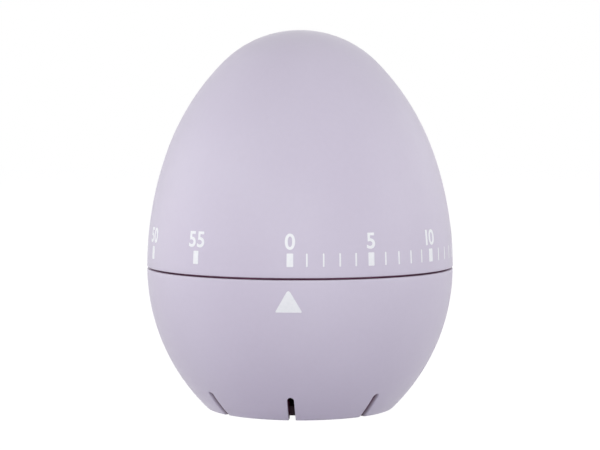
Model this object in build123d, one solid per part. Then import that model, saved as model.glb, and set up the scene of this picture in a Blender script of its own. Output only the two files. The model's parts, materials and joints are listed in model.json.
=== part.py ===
from build123d import *
import math
import os

# Egg-shaped mechanical kitchen timer, millimetres.
# Origin: centre of the foot, on the surface it stands on. +Z up. The pointer faces -Y.

# ---------------------------------------------------------------- driving dimensions: casing
EGG_RADIUS = 30.0            # largest radius, at the seam
EGG_HEIGHT = 74.0            # foot to crown
SEAM_Z = 27.7                # middle of the seam between base and dial
SEAM_GAP = 0.4               # open gap between the two rims
FOOT_RADIUS = 18.3           # where the lower curve would meet the surface
FOOT_ROUND = 0.5             # rounding of the foot's edge
WALL = 2.0                   # casing wall
CROWN_RADIUS = 21.27         # arc over the top
CROWN_ANGLE = 44.4           # normal's elevation where crown meets shoulder
SHOULDER_ANGLE = 19.7        # normal's elevation where shoulder meets flank
RIM_ROUND = 0.15             # eased rim edges
LIP_HEIGHT = 2.1             # base lip, above the seam, inside the dial
LIP_WALL = 1.1
LIP_DEPTH = 2.5              # how far the lip's ring reaches down the base wall
TURN_GAP = 0.3               # radial gap between lip and dial

SLOT_COUNT = 8
SLOT_WIDTH = 1.3
SLOT_TOP_Z = 4.85            # top of a sound slot, on the outer surface
COVER_RECESS = 0.6           # the cover's face, above the surface
COVER_THICK = 1.8
COVER_GAP = 0.15
COVER_SCREW_INSET = 1.8      # cover's edge to its screws
COVER_SCREW_LENGTH = 1.9
COVER_SCREW_SINK = 0.8       # depth of the pocket for a screw's head
COVER_LUG_RADIUS = 1.7
CENTRE_HOLE = 2.2            # in the cover, lets a driver reach the bell's screw
COVER_LEDGE = 1.0            # width of the ledge that the cover seats on
COVER_LEDGE_THICK = 1.2
FOOT_RIM = 2.15              # foot's outer edge, before rounding, to the cover's bore
BOSS_DEPTH = 4.0             # the movement's bosses start this far below the lower plate

# ---------------------------------------------------------------- driving dimensions: movement
PLATE_RADIUS = 21.6
PLATE_THICK = 0.8
LOWER_PLATE_Z = 12.0         # underside
UPPER_PLATE_Z = 25.2         # underside
PILLAR_CIRCLE = 19.6
PILLAR_RADIUS = 1.1
PILLAR_ANGLES = (148.0, 205.0, 328.0)
EAR_CIRCLE = 24.4            # movement screws and the bosses under them
EAR_RADIUS = 1.9
BOSS_RADIUS = 2.2
EAR_ANGLES = (85.0, 205.0, 325.0)
SCREW_RADIUS = 0.8           # small screws' shank
SCREW_HEAD_RADIUS = 1.5
SCREW_HEAD = 0.8
SCREW_LENGTH = 4.0
DRIVE_WIDTH = 0.4            # screwdriver slot
DRIVE_DEPTH = 0.35
PIVOT_RADIUS = 0.4
PIVOT_GAP = 0.04             # radial running clearance of every pivot
END_SHAKE = 0.1              # axial clearance of every arbor
ARBOR_RADIUS = 0.6

PINION_LEAVES = 8
GREAT_TEETH = 72
GREAT_MODULE = 0.35
SECOND_TEETH = 64
SECOND_REACH = 23.69         # how far from the egg's axis the second wheel's teeth reach
THIRD_TEETH = 60
THIRD_MODULE = 0.25
STRIKE_TEETH = 48
STRIKE_MODULE = 0.30
PRESSURE_ANGLE = math.radians(20)
ADDENDUM = 0.8               # in modules
DEDENDUM = 1.05
PROFILE_SHIFT = 0.5          # plus on pinions, minus on wheels
TOOTH_EASE = 0.05            # taken off each tooth's width, for backlash
GREAT_Z = (14.0, 15.2)
THIRD_Z = (15.6, 16.2)
SECOND_Z = (16.6, 17.4)      # the second and the strike wheel
PINION_OVERHANG = 0.4        # a pinion is this much longer than its wheel, each way
RELEASED_TEETH = (3, 4, 5)   # teeth missing from the great wheel, so the last stretch runs free
WHEEL_RIM = 1.8              # pitch circle to the inside of a wheel's rim
WHEEL_HUB = 1.4              # arbor to the outside of a wheel's hub
SPOKE_WIDTH = 1.2
SPOKES = 4
FLANK_STEPS = 3              # straight pieces along one tooth flank
CLUTCH_WASHER = 2.2
CLUTCH_WASHER_THICK = 0.3
CLUTCH_COLLAR = 1.4
CLUTCH_COLLAR_THICK = 1.0

SECOND_ANGLE = 20.0          # where the second arbor stands
THIRD_GAP = 2.4              # great wheel's pitch circle to the third arbor
ESCAPE_CIRCLE = 16.5
PALLET_CIRCLE = 17.0
PALLET_DISTANCE = 6.2        # escape arbor to pallet arbor
STRIKE_ANGLE = 285.0
STAR_CIRCLE = 16.5
HAMMER_CIRCLE = 17.2
HAMMER_ANGLE = 232.0

ESCAPE_TEETH = 15
ESCAPE_TIP = 4.6
ESCAPE_ROOT = 3.6
ESCAPE_FLAT = 0.3            # width of a tooth's tip
ESCAPE_BACK = 0.4            # a tooth's sloped back, in pitches
ESCAPE_Z = (17.8, 18.4)
PALLET_SPAN = 3.5            # pins stand this many tooth pitches apart
PALLET_LEAD = 0.22           # entry pin ahead of a tooth, in pitches
PIN_RADIUS = 0.22
PIN_GAP = 0.08               # a pin outside the tooth tips, at mid swing
PIN_REACH = 0.2              # a pin passes the escape wheel's lower face by this much
LEVER_HUB = 0.6              # arbor to the outside of the pallet lever's hub
LEVER_Z = (18.8, 19.4)
BALANCE_Z = (20.0, 21.0)
BALANCE_HALF = 4.3
BALANCE_WIDTH = 1.2
BALANCE_WEIGHT = 0.9         # radius of the disc at each end
BALANCE_HUB = 0.5            # arbor to the outside of the balance's hub

STAR_TEETH = 12
STAR_TIP = 3.7
STAR_ROOT = 2.7
STAR_Z = (18.0, 19.0)
STAR_FLAT = 0.15             # half width of a point's tip
STAR_FOOT = 0.35             # half width of a point's foot, in pitches
NOSE_RADIUS = 0.45
NOSE_GAP = 0.2
NOSE_TURN = 40.0             # nose's place round the star, from the line of arbors
ARM_Z = (10.9, 11.7)         # hammer arm, between bell and lower plate
HEAD_CIRCLE = 12.6
HEAD_RADIUS = 1.0
HEAD_DROP = 3.2              # the head hangs this far below its arm
HEAD_STEM = 0.5
HEAD_GAP = 0.6               # arm to the top of the head
HEAD_ROUND = 0.3
HAMMER_SHAFT = 0.8
HAMMER_HUB = 0.6             # shaft to the outside of the pallet's hub
ARM_WIDTH = 1.6
ARM_HUB = 0.9                # shaft to the outside of an end arm's hub
LOCK_Z = (27.2, 28.0)        # hammer lock and release lever, above the upper plate
LOCK_LENGTH = 5.0
LOCK_GAP = 0.2
LOCK_WIDTH = 0.9
FINGER_WIDTH = 0.9
FINGER_LAP = 1.0             # the lever's finger reaches this far past the lock's tip

BELL_RADIUS = 15.5
BELL_WALL = 0.6
BELL_Z = (3.8, 10.6)
BELL_ROUND = 4.0
POST_RADIUS = 2.0
SPIGOT_RADIUS = 1.6

MAIN_RADIUS = 1.8
MAIN_JOURNAL = 1.4
MAIN_PIVOT = 0.8
MAIN_FLAT = 0.5              # depth of the D-end's flat
MAIN_TOP = 37.0
CAM_RADIUS = 10.0
CAM_Z = (27.2, 28.2)
CAM_NOTCH_DEPTH = 1.9
NOTCH_MARGIN = 0.25
NOTCH_CUT = 1.6              # width of one of the cuts that make the notch
CAM_NOSE = 0.45              # radius of the release lever's nose
CAM_NOSE_GAP = 0.1
NOSE_REACH = 1.4             # the nose stands this far in from the lever's arm
TAB_HUB = 1.0
TAB_THICK = 0.7              # the stop tab stands on the cam, above the release lever
STOP_CIRCLE = 12.2
STOP_RADIUS = 0.4
STOP_ANGLE = 330.0
TAB_WIDTH = 0.5
SPARE_TURN = 20.0 / 3.0      # the dial turns a full circle less this, degrees

RELEASE_CIRCLE = 15.0
RELEASE_ANGLE = 200.0
RELEASE_STUD = 0.8
RELEASE_HUB = 1.0            # stud to the outside of the lever's hub
RELEASE_GAP = 0.1            # lever to the underside of the stud's head
RELEASE_CAP = 0.6            # overhang and thickness of the stud's head
STOP_OVER = 0.1              # the stop stud passes the tab by this much

LEAF_THICK = 0.25
LEAF_GAP = 0.2               # leaf's tip to what it presses
CLIP_WALL = 0.5
HAMMER_SPRING_PILLAR = 205.0
HAMMER_LEAF_SHARE = 0.9      # the tip's place along the pallet
RELEASE_FOOT = 1.0
RELEASE_FOOT_CIRCLE = 17.8
RELEASE_FOOT_ANGLE = 170.0
RELEASE_LEAF_SHARE = 0.7     # the tip's place along the lever's arm

SPRING_STRIP = 0.3
SPRING_Z = (19.5, 24.3)
SPRING_INNER = 2.2
SPRING_OUTER = 12.4
SPRING_TURNS = 8.5
SPRING_END_ANGLE = 180.0
SPRING_POST_RADIUS = 0.7
SPRING_STEPS = 12            # points on one turn of the spiral

CARRIER_Z = 31.0
CARRIER_THICK = 2.0
CARRIER_GAP = 0.5
CARRIER_WINDOW = 5.0         # radius of the lightening holes between the screws
HUB_RADIUS = 3.4
HUB_TOP = 37.5
HUB_BOTTOM = 29.2
BORE_GAP = 0.03
CARRIER_SCREW_CIRCLE = 17.0
CARRIER_BOSS = 2.6
CARRIER_ANGLES = (30.0, 150.0, 270.0)

CUT = 0.5                    # how far a cut runs past what it cuts


# ---------------------------------------------------------------- small helpers
def polar(radius, degrees):
    a = math.radians(degrees)
    return (radius * math.cos(a), radius * math.sin(a))


def angle_at(near, opposite, far):
    """Angle at the centre, in degrees, between two sides of a triangle that faces the side 'opposite'."""
    return math.degrees(math.acos((near ** 2 + far ** 2 - opposite ** 2) / (2 * near * far)))


def direction(start, end):
    return math.degrees(math.atan2(end[1] - start[1], end[0] - start[0]))


def disc(radius, z0, z1, at=(0, 0)):
    return Pos(at[0], at[1], (z0 + z1) / 2) * Cylinder(radius, z1 - z0)


def ring(outer, inner, z0, z1, at=(0, 0)):
    return disc(outer, z0, z1, at) - disc(inner, z0 - CUT, z1 + CUT, at)


def bar(start, end, width, z0, z1):
    """Flat bar with round ends, from one point to another."""
    length = math.dist(start, end)
    middle = ((start[0] + end[0]) / 2, (start[1] + end[1]) / 2)
    turn = direction(start, end)
    flat = Pos(middle[0], middle[1], z0) * Rot(0, 0, turn) * SlotCenterToCenter(length, width)
    return extrude(flat, z1 - z0)


def block(radius0, radius1, width, z0, z1, degrees):
    """Straight block that runs outward between two radii, at one angle."""
    shape = Pos((radius0 + radius1) / 2, 0, (z0 + z1) / 2) * Box(radius1 - radius0, width, z1 - z0)
    return Rot(0, 0, degrees) * shape


def screw(at, seat_z, up=True, length=SCREW_LENGTH, shank=SCREW_RADIUS):
    """Slotted screw. Its head stands on seat_z and its shank goes the other way."""
    sign = 1 if up else -1
    head = Pos(at[0], at[1], seat_z + sign * SCREW_HEAD / 2) * Cylinder(SCREW_HEAD_RADIUS, SCREW_HEAD)
    rod = Pos(at[0], at[1], seat_z - sign * length / 2) * Cylinder(shank, length)
    top = seat_z + sign * (SCREW_HEAD - DRIVE_DEPTH / 2)
    drive = Pos(at[0], at[1], top) * Box(4 * SCREW_HEAD_RADIUS, DRIVE_WIDTH, DRIVE_DEPTH)
    return head + rod - drive


def group(solids):
    """Several separate solids in one node."""
    return Compound(children=[s.solid() if hasattr(s, "solid") else s for s in solids])


# ---------------------------------------------------------------- egg outline
def upper_radii():
    """Shoulder and flank radii that join the crown to a vertical tangent at the seam."""
    c1, s1 = math.cos(math.radians(CROWN_ANGLE)), math.sin(math.radians(CROWN_ANGLE))
    c2, s2 = math.cos(math.radians(SHOULDER_ANGLE)), math.sin(math.radians(SHOULDER_ANGLE))
    wide = EGG_RADIUS - CROWN_RADIUS * c1
    tall = EGG_HEIGHT - SEAM_Z - CROWN_RADIUS * (1 - s1)
    a, b, c, d = c2 - c1, 1 - c2, s1 - s2, s2
    det = a * d - b * c
    return (wide * d - b * tall) / det, (a * tall - c * wide) / det


SHOULDER_RADIUS, FLANK_RADIUS = upper_radii()
FOOT_INSET = EGG_RADIUS - FOOT_RADIUS
LOWER_RADIUS = (FOOT_INSET ** 2 + SEAM_Z ** 2) / (2 * FOOT_INSET)


def arc_end(centre, radius, degrees):
    a = math.radians(degrees)
    return (centre[0] + radius * math.cos(a), centre[1] + radius * math.sin(a))


def egg_arcs(offset):
    """Centres and radii of the egg's four arcs, moved inward by offset."""
    flank = ((EGG_RADIUS - FLANK_RADIUS), SEAM_Z)
    end = arc_end(flank, FLANK_RADIUS, SHOULDER_ANGLE)
    back = arc_end((0, 0), SHOULDER_RADIUS, SHOULDER_ANGLE)
    shoulder = (end[0] - back[0], end[1] - back[1])
    crown = (0, EGG_HEIGHT - CROWN_RADIUS)
    lower = (EGG_RADIUS - LOWER_RADIUS, SEAM_Z)
    return {
        "flank": (flank, FLANK_RADIUS - offset),
        "shoulder": (shoulder, SHOULDER_RADIUS - offset),
        "crown": (crown, CROWN_RADIUS - offset),
        "lower": (lower, LOWER_RADIUS - offset),
    }


def curve(arc, from_angle, to_angle):
    centre, radius = arc
    middle = (from_angle + to_angle) / 2
    points = [arc_end(centre, radius, a) for a in (from_angle, middle, to_angle)]
    return ThreePointArc(*points)


def upper_egg(offset, from_z):
    """Solid of the egg's upper part, from a level near the seam to the crown."""
    arcs = egg_arcs(offset)
    centre, radius = arcs["flank"]
    start = math.degrees(math.asin((from_z - centre[1]) / radius))
    flank = curve(arcs["flank"], start, SHOULDER_ANGLE)
    shoulder = curve(arcs["shoulder"], SHOULDER_ANGLE, CROWN_ANGLE)
    crown = curve(arcs["crown"], CROWN_ANGLE, 90)
    axis = Line(crown @ 1, (0, from_z))
    floor = Line((0, from_z), flank @ 0)
    return revolve(Plane.XZ * make_face([flank, shoulder, crown, axis, floor]), Axis.Z)


def lower_egg(offset, from_z, to_z):
    """Solid of the egg's lower part between two levels."""
    centre, radius = egg_arcs(offset)["lower"]
    low = math.degrees(math.asin((from_z - centre[1]) / radius))
    high = math.degrees(math.asin((to_z - centre[1]) / radius))
    side = curve((centre, radius), low, high)
    top = Line(side @ 1, (0, to_z))
    axis = Line((0, to_z), (0, from_z))
    floor = Line((0, from_z), side @ 0)
    return revolve(Plane.XZ * make_face([side, top, axis, floor]), Axis.Z)


def lower_radius_at(z, offset=0.0):
    """Radius of the lower curve, moved inward by offset, at a level."""
    centre, radius = egg_arcs(offset)["lower"]
    return centre[0] + math.sqrt(radius ** 2 - (z - centre[1]) ** 2)


def circles_at(shape, z):
    """Round edges of a shape that lie in one level."""
    near = 0.001
    return shape.edges().filter_by(GeomType.CIRCLE).filter_by_position(Axis.Z, z - near, z + near)


# ---------------------------------------------------------------- casing
BASE_RIM_Z = SEAM_Z - SEAM_GAP / 2
CAP_RIM_Z = SEAM_Z + SEAM_GAP / 2
LIP_RADIUS = EGG_RADIUS - WALL - TURN_GAP
LIP_INNER = LIP_RADIUS - LIP_WALL
LIP_TOP = SEAM_Z + LIP_HEIGHT
SCREW_BASE = LOWER_PLATE_Z - BOSS_DEPTH
COVER_TOP = COVER_RECESS + COVER_THICK
LEDGE_TOP = COVER_TOP + COVER_LEDGE_THICK
COVER_RADIUS = FOOT_RADIUS - FOOT_RIM - COVER_GAP
COVER_SCREW_CIRCLE = COVER_RADIUS - COVER_SCREW_INSET


def base_shell():
    outer = lower_egg(0, 0, BASE_RIM_Z)
    inner = lower_egg(WALL, -CUT, BASE_RIM_Z + CUT)
    shell = outer - inner
    shell = fillet(circles_at(shell, 0).sort_by(SortBy.RADIUS)[-1:], FOOT_ROUND)
    shell = fillet(circles_at(shell, BASE_RIM_Z).sort_by(SortBy.RADIUS)[-1:], RIM_ROUND)
    step = LIP_RADIUS + WALL / 2
    shell += ring(step, LIP_INNER, BASE_RIM_Z - LIP_DEPTH, BASE_RIM_Z)
    shell += ring(LIP_RADIUS, LIP_INNER, BASE_RIM_Z - LIP_DEPTH, LIP_TOP)
    # bosses under the upper plate's ears, each tied to the wall
    for angle in EAR_ANGLES:
        at = polar(EAR_CIRCLE, angle)
        boss = disc(BOSS_RADIUS, SCREW_BASE, UPPER_PLATE_Z, at)
        web = block(EAR_CIRCLE, EGG_RADIUS, BOSS_RADIUS, SCREW_BASE, BASE_RIM_Z - LIP_DEPTH, angle)
        shell += (boss + web) & lower_egg(WALL / 2, SCREW_BASE - CUT, BASE_RIM_Z)
        shell -= disc(SCREW_RADIUS, UPPER_PLATE_Z - SCREW_LENGTH, UPPER_PLATE_Z + CUT, at)
    # ledge that the bottom cover seats against
    ledge_out = lower_radius_at(LEDGE_TOP, WALL / 2)
    ledge = ring(ledge_out, COVER_RADIUS - COVER_LEDGE, COVER_TOP, LEDGE_TOP)
    for angle in EAR_ANGLES:
        at = polar(COVER_SCREW_CIRCLE, angle)
        ledge += bar(at, polar(ledge_out, angle), 2 * COVER_LUG_RADIUS, COVER_TOP, LEDGE_TOP)
        ledge -= disc(SCREW_RADIUS, COVER_TOP - CUT, LEDGE_TOP + CUT, at)
    shell -= disc(FOOT_RADIUS - FOOT_RIM, -CUT, COVER_TOP)
    shell += ledge & lower_egg(WALL / 2, COVER_TOP, LEDGE_TOP)
    for number in range(SLOT_COUNT):
        shell -= Rot(0, 0, number * 360 / SLOT_COUNT) * sound_slot()
    return shell.solid()


def sound_slot():
    """Cutter for the slot that faces -Y: straight sides, a round top, open through the foot."""
    outer = lower_radius_at(SLOT_TOP_Z)
    round_z = SLOT_TOP_Z - SLOT_WIDTH / 2
    inner = COVER_RADIUS - COVER_LEDGE - CUT
    middle = -(outer + CUT + inner) / 2
    depth = outer + CUT - inner
    legs = Pos(0, middle, (round_z - CUT) / 2) * Box(SLOT_WIDTH, depth, round_z + CUT)
    top = Pos(0, middle, round_z) * Rot(90, 0, 0) * Cylinder(SLOT_WIDTH / 2, depth)
    return legs + top


def bottom_cover():
    cover = disc(COVER_RADIUS, COVER_RECESS, COVER_TOP)
    for angle in EAR_ANGLES:
        at = polar(COVER_SCREW_CIRCLE, angle)
        cover -= disc(SCREW_RADIUS, 0, COVER_TOP + CUT, at)
        cover -= disc(SCREW_HEAD_RADIUS + COVER_GAP, 0, COVER_RECESS + COVER_SCREW_SINK, at)
    cover -= disc(CENTRE_HOLE, 0, COVER_TOP + CUT)
    return cover.solid()


def dial_cap():
    outer = upper_egg(0, CAP_RIM_Z)
    inner = upper_egg(WALL, CAP_RIM_Z)
    cap = outer - inner
    cap = fillet(circles_at(cap, CAP_RIM_Z).sort_by(SortBy.RADIUS)[-1:], RIM_ROUND)
    for angle in CARRIER_ANGLES:
        at = polar(CARRIER_SCREW_CIRCLE, angle)
        boss = disc(CARRIER_BOSS, CARRIER_Z + CARRIER_THICK, EGG_HEIGHT, at)
        cap += boss & upper_egg(WALL / 2, CAP_RIM_Z)
        cap -= disc(SCREW_RADIUS, CARRIER_Z, CARRIER_Z + SCREW_LENGTH + CUT, at)
    return cap.solid()


def dial_carrier():
    top = CARRIER_Z + CARRIER_THICK
    radius = EGG_RADIUS - WALL - CARRIER_GAP
    carrier = disc(radius, CARRIER_Z, top) + disc(HUB_RADIUS, HUB_BOTTOM, HUB_TOP)
    bore = disc(MAIN_JOURNAL + BORE_GAP, HUB_BOTTOM - CUT, MAIN_TOP + BORE_GAP)
    flat = MAIN_JOURNAL - MAIN_FLAT + BORE_GAP
    keep = Pos(flat + HUB_RADIUS / 2, 0, (HUB_BOTTOM + HUB_TOP) / 2) * Box(
        HUB_RADIUS, 2 * HUB_RADIUS, HUB_TOP - HUB_BOTTOM + 2 * CUT)
    carrier -= bore - keep
    for angle in CARRIER_ANGLES:
        at = polar(CARRIER_SCREW_CIRCLE, angle)
        carrier -= disc(SCREW_RADIUS, CARRIER_Z - CUT, top + CUT, at)
        window = polar(CARRIER_SCREW_CIRCLE - CARRIER_BOSS, angle + 60)
        carrier -= disc(CARRIER_WINDOW, CARRIER_Z - CUT, top + CUT, window)
    return carrier.solid()


# ---------------------------------------------------------------- gears
def involute(angle):
    return math.tan(angle) - angle


def tooth_half_angle(teeth, module, shift, radius):
    """Half a tooth's angle, in radians, at a radius on or outside the base circle."""
    pitch = teeth * module / 2
    base = pitch * math.cos(PRESSURE_ANGLE)
    width = module * (math.pi / 2 + 2 * shift * math.tan(PRESSURE_ANGLE)) - TOOTH_EASE
    at_pitch = width / (2 * pitch)
    pressure = math.acos(min(1.0, base / radius))
    return at_pitch + involute(PRESSURE_ANGLE) - involute(pressure)


def gear_face(teeth, module, shift, phase, missing=()):
    """Outline of an involute wheel; a tooth points along phase, in degrees."""
    pitch = teeth * module / 2
    base = pitch * math.cos(PRESSURE_ANGLE)
    tip = pitch + module * (ADDENDUM + shift)
    root = pitch - module * (DEDENDUM - shift)
    start = max(base, root)
    flank = [start + (tip - start) * step / FLANK_STEPS for step in range(FLANK_STEPS + 1)]
    points = []
    for tooth in range(teeth):
        middle = math.radians(phase) + tooth * 2 * math.pi / teeth
        if tooth in missing:
            points.append(arc_end((0, 0), root, math.degrees(middle)))
            continue
        halves = [(r, tooth_half_angle(teeth, module, shift, r)) for r in flank]
        if root < base:
            halves.insert(0, (root, halves[0][1]))
        for r, half in halves:
            points.append(arc_end((0, 0), r, math.degrees(middle - half)))
        for r, half in reversed(halves):
            points.append(arc_end((0, 0), r, math.degrees(middle + half)))
    return make_face(Polyline(*points, close=True))


def gear(teeth, module, shift, phase, z0, z1, at, bore=0.0, missing=()):
    body = extrude(Pos(at[0], at[1], z0) * gear_face(teeth, module, shift, phase, missing), z1 - z0)
    if bore:
        body -= disc(bore, z0 - CUT, z1 + CUT, at)
    return body


def pinion_phase(wheel_at, wheel_phase, wheel_teeth, pinion_at):
    """Phase of a pinion whose gap meets the wheel's tooth."""
    line = direction(wheel_at, pinion_at)
    turn = line - wheel_phase
    return line + 180 + 180 / PINION_LEAVES + turn * wheel_teeth / PINION_LEAVES


def centre_distance(teeth, module):
    return (teeth + PINION_LEAVES) * module / 2


CENTRE = (0, 0)
GREAT_DISTANCE = centre_distance(GREAT_TEETH, GREAT_MODULE)
SECOND_MODULE = (SECOND_REACH - GREAT_DISTANCE) / (SECOND_TEETH / 2 + ADDENDUM - PROFILE_SHIFT)
THIRD_CIRCLE = GREAT_TEETH * GREAT_MODULE / 2 + THIRD_GAP
SECOND_DISTANCE = centre_distance(SECOND_TEETH, SECOND_MODULE)
THIRD_DISTANCE = centre_distance(THIRD_TEETH, THIRD_MODULE)
STRIKE_DISTANCE = centre_distance(STRIKE_TEETH, STRIKE_MODULE)
SECOND_AT = polar(GREAT_DISTANCE, SECOND_ANGLE)
THIRD_ANGLE = SECOND_ANGLE + angle_at(GREAT_DISTANCE, SECOND_DISTANCE, THIRD_CIRCLE)
THIRD_AT = polar(THIRD_CIRCLE, THIRD_ANGLE)
ESCAPE_ANGLE = THIRD_ANGLE + angle_at(THIRD_CIRCLE, THIRD_DISTANCE, ESCAPE_CIRCLE)
ESCAPE_AT = polar(ESCAPE_CIRCLE, ESCAPE_ANGLE)
PALLET_ANGLE = ESCAPE_ANGLE + angle_at(ESCAPE_CIRCLE, PALLET_DISTANCE, PALLET_CIRCLE)
PALLET_AT = polar(PALLET_CIRCLE, PALLET_ANGLE)
STRIKE_AT = polar(GREAT_DISTANCE, STRIKE_ANGLE)
STAR_ANGLE = STRIKE_ANGLE - angle_at(GREAT_DISTANCE, STRIKE_DISTANCE, STAR_CIRCLE)
STAR_AT = polar(STAR_CIRCLE, STAR_ANGLE)
HAMMER_AT = polar(HAMMER_CIRCLE, HAMMER_ANGLE)
RELEASE_AT = polar(RELEASE_CIRCLE, RELEASE_ANGLE)

GREAT_PHASE = 0.0
SECOND_PHASE = 0.0
THIRD_PHASE = 0.0
STRIKE_PHASE = 0.0


def great_wheel():
    wheel = gear(
        GREAT_TEETH, GREAT_MODULE, -PROFILE_SHIFT, GREAT_PHASE, *GREAT_Z, CENTRE, MAIN_RADIUS, RELEASED_TEETH)
    rim = GREAT_TEETH * GREAT_MODULE / 2 - WHEEL_RIM
    return spoked(wheel, CENTRE, rim, MAIN_RADIUS + WHEEL_HUB, GREAT_Z)


def spoked(wheel, at, rim, hub, z):
    """Opens a wheel's web between its spokes."""
    web = ring(rim, hub, z[0] - CUT, z[1] + CUT)
    for number in range(SPOKES):
        web -= block(0, rim + CUT, SPOKE_WIDTH, z[0] - 2 * CUT, z[1] + 2 * CUT, number * 360 / SPOKES)
    return (wheel - Pos(at[0], at[1], 0) * web).solid()


def train_wheel(teeth, module, phase, z, at):
    wheel = gear(teeth, module, -PROFILE_SHIFT, phase, *z, at, ARBOR_RADIUS)
    return spoked(wheel, at, teeth * module / 2 - WHEEL_RIM, ARBOR_RADIUS + WHEEL_HUB, z)


def arbor(at, low=LOWER_PLATE_Z, high=UPPER_PLATE_Z + PLATE_THICK):
    """Train arbor: a shaft between the plates and a pivot in each plate."""
    shaft_low = LOWER_PLATE_Z + PLATE_THICK + END_SHAKE
    shaft_high = UPPER_PLATE_Z - END_SHAKE
    return disc(ARBOR_RADIUS, shaft_low, shaft_high, at) + disc(PIVOT_RADIUS, low, high, at)


def pinion_arbor(at, module, phase, wheel_z):
    leaves = gear(
        PINION_LEAVES, module, PROFILE_SHIFT, phase,
        wheel_z[0] - PINION_OVERHANG, wheel_z[1] + PINION_OVERHANG, at)
    return (arbor(at) + leaves).solid()


def main_arbor():
    low = LOWER_PLATE_Z - PLATE_THICK / 2
    shaft_low = LOWER_PLATE_Z + PLATE_THICK + END_SHAKE
    shaft_high = UPPER_PLATE_Z - END_SHAKE
    rod = disc(MAIN_PIVOT, low, shaft_low) + disc(MAIN_RADIUS, shaft_low, shaft_high)
    rod += disc(MAIN_JOURNAL, shaft_high, MAIN_TOP)
    flat = MAIN_JOURNAL - MAIN_FLAT
    height = MAIN_TOP - HUB_BOTTOM
    cut = Pos(flat + MAIN_JOURNAL, 0, HUB_BOTTOM + height / 2 + CUT / 2) * Box(
        2 * MAIN_JOURNAL, 4 * MAIN_JOURNAL, height + CUT)
    return (rod - cut).solid()


# ---------------------------------------------------------------- plates and pillars
def plate_holes(plate, z0, z1):
    for at in (SECOND_AT, THIRD_AT, ESCAPE_AT, PALLET_AT, STRIKE_AT, STAR_AT):
        plate -= disc(PIVOT_RADIUS + PIVOT_GAP, z0 - CUT, z1 + CUT, at)
    for angle in PILLAR_ANGLES:
        plate -= disc(SCREW_RADIUS, z0 - CUT, z1 + CUT, polar(PILLAR_CIRCLE, angle))
    plate -= disc(ARBOR_RADIUS + PIVOT_GAP, z0 - CUT, z1 + CUT, HAMMER_AT)
    return plate


def lower_plate():
    top = LOWER_PLATE_Z + PLATE_THICK
    plate = plate_holes(disc(PLATE_RADIUS, LOWER_PLATE_Z, top), LOWER_PLATE_Z, top)
    plate -= disc(SPIGOT_RADIUS, LOWER_PLATE_Z - CUT, top + CUT)
    return plate.solid()


def upper_plate():
    top = UPPER_PLATE_Z + PLATE_THICK
    plate = disc(PLATE_RADIUS, UPPER_PLATE_Z, top)
    for angle in EAR_ANGLES:
        root = polar(PLATE_RADIUS - EAR_RADIUS, angle)
        at = polar(EAR_CIRCLE, angle)
        plate += bar(root, at, 2 * EAR_RADIUS, UPPER_PLATE_Z, top)
        plate -= disc(SCREW_RADIUS, UPPER_PLATE_Z - CUT, top + CUT, at)
    plate = plate_holes(plate, UPPER_PLATE_Z, top)
    plate -= disc(MAIN_JOURNAL + PIVOT_GAP, UPPER_PLATE_Z - CUT, top + CUT)
    plate -= disc(RELEASE_STUD, UPPER_PLATE_Z - CUT, top + CUT, RELEASE_AT)
    plate -= disc(STOP_RADIUS, UPPER_PLATE_Z - CUT, top + CUT, polar(STOP_CIRCLE, STOP_ANGLE))
    plate -= disc(SPRING_POST_RADIUS, UPPER_PLATE_Z - CUT, top + CUT, SPRING_POST_AT)
    return plate.solid()


def pillars():
    low = LOWER_PLATE_Z + PLATE_THICK
    solids = []
    for angle in PILLAR_ANGLES:
        at = polar(PILLAR_CIRCLE, angle)
        pillar = disc(PILLAR_RADIUS, low, UPPER_PLATE_Z, at)
        pillar -= disc(SCREW_RADIUS, low - CUT, low + SCREW_LENGTH, at)
        pillar -= disc(SCREW_RADIUS, UPPER_PLATE_Z - SCREW_LENGTH, UPPER_PLATE_Z + CUT, at)
        solids.append(pillar)
    return group(solids)


def plate_screws():
    solids = []
    for angle in PILLAR_ANGLES:
        at = polar(PILLAR_CIRCLE, angle)
        solids.append(screw(at, LOWER_PLATE_Z, up=False))
        solids.append(screw(at, UPPER_PLATE_Z + PLATE_THICK))
    return group(solids)


def movement_screws():
    seat = UPPER_PLATE_Z + PLATE_THICK
    return group([screw(polar(EAR_CIRCLE, angle), seat) for angle in EAR_ANGLES])


def cover_screws():
    seat = COVER_RECESS + COVER_SCREW_SINK
    return group([
        screw(polar(COVER_SCREW_CIRCLE, angle), seat, up=False, length=COVER_SCREW_LENGTH)
        for angle in EAR_ANGLES
    ])


def carrier_screws():
    places = [polar(CARRIER_SCREW_CIRCLE, angle) for angle in CARRIER_ANGLES]
    return group([screw(at, CARRIER_Z, up=False) for at in places])


# ---------------------------------------------------------------- mainspring
SPRING_POST_AT = polar(SPRING_OUTER + SPRING_STRIP / 2 + SPRING_POST_RADIUS, SPRING_END_ANGLE)


def spiral(offset):
    """Curve of the mainspring's strip, moved outward by offset."""
    count = int(SPRING_TURNS * SPRING_STEPS)
    points = []
    for number in range(count + 1):
        share = number / count
        radius = SPRING_INNER + (SPRING_OUTER - SPRING_INNER) * share + offset
        degrees = SPRING_END_ANGLE - SPRING_TURNS * 360 * (1 - share)
        points.append(polar(radius, degrees))
    return Spline(*points)


def mainspring():
    inside, outside = spiral(-SPRING_STRIP / 2), spiral(SPRING_STRIP / 2)
    ends = [Line(inside @ 0, outside @ 0), Line(inside @ 1, outside @ 1)]
    strip = make_face([inside, outside] + ends)
    return extrude(Pos(0, 0, SPRING_Z[0]) * strip, SPRING_Z[1] - SPRING_Z[0]).solid()


def spring_post():
    """Hangs from the upper plate and holds the mainspring's outer end."""
    return disc(SPRING_POST_RADIUS, SPRING_Z[0], UPPER_PLATE_Z + PLATE_THICK, SPRING_POST_AT).solid()


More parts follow.
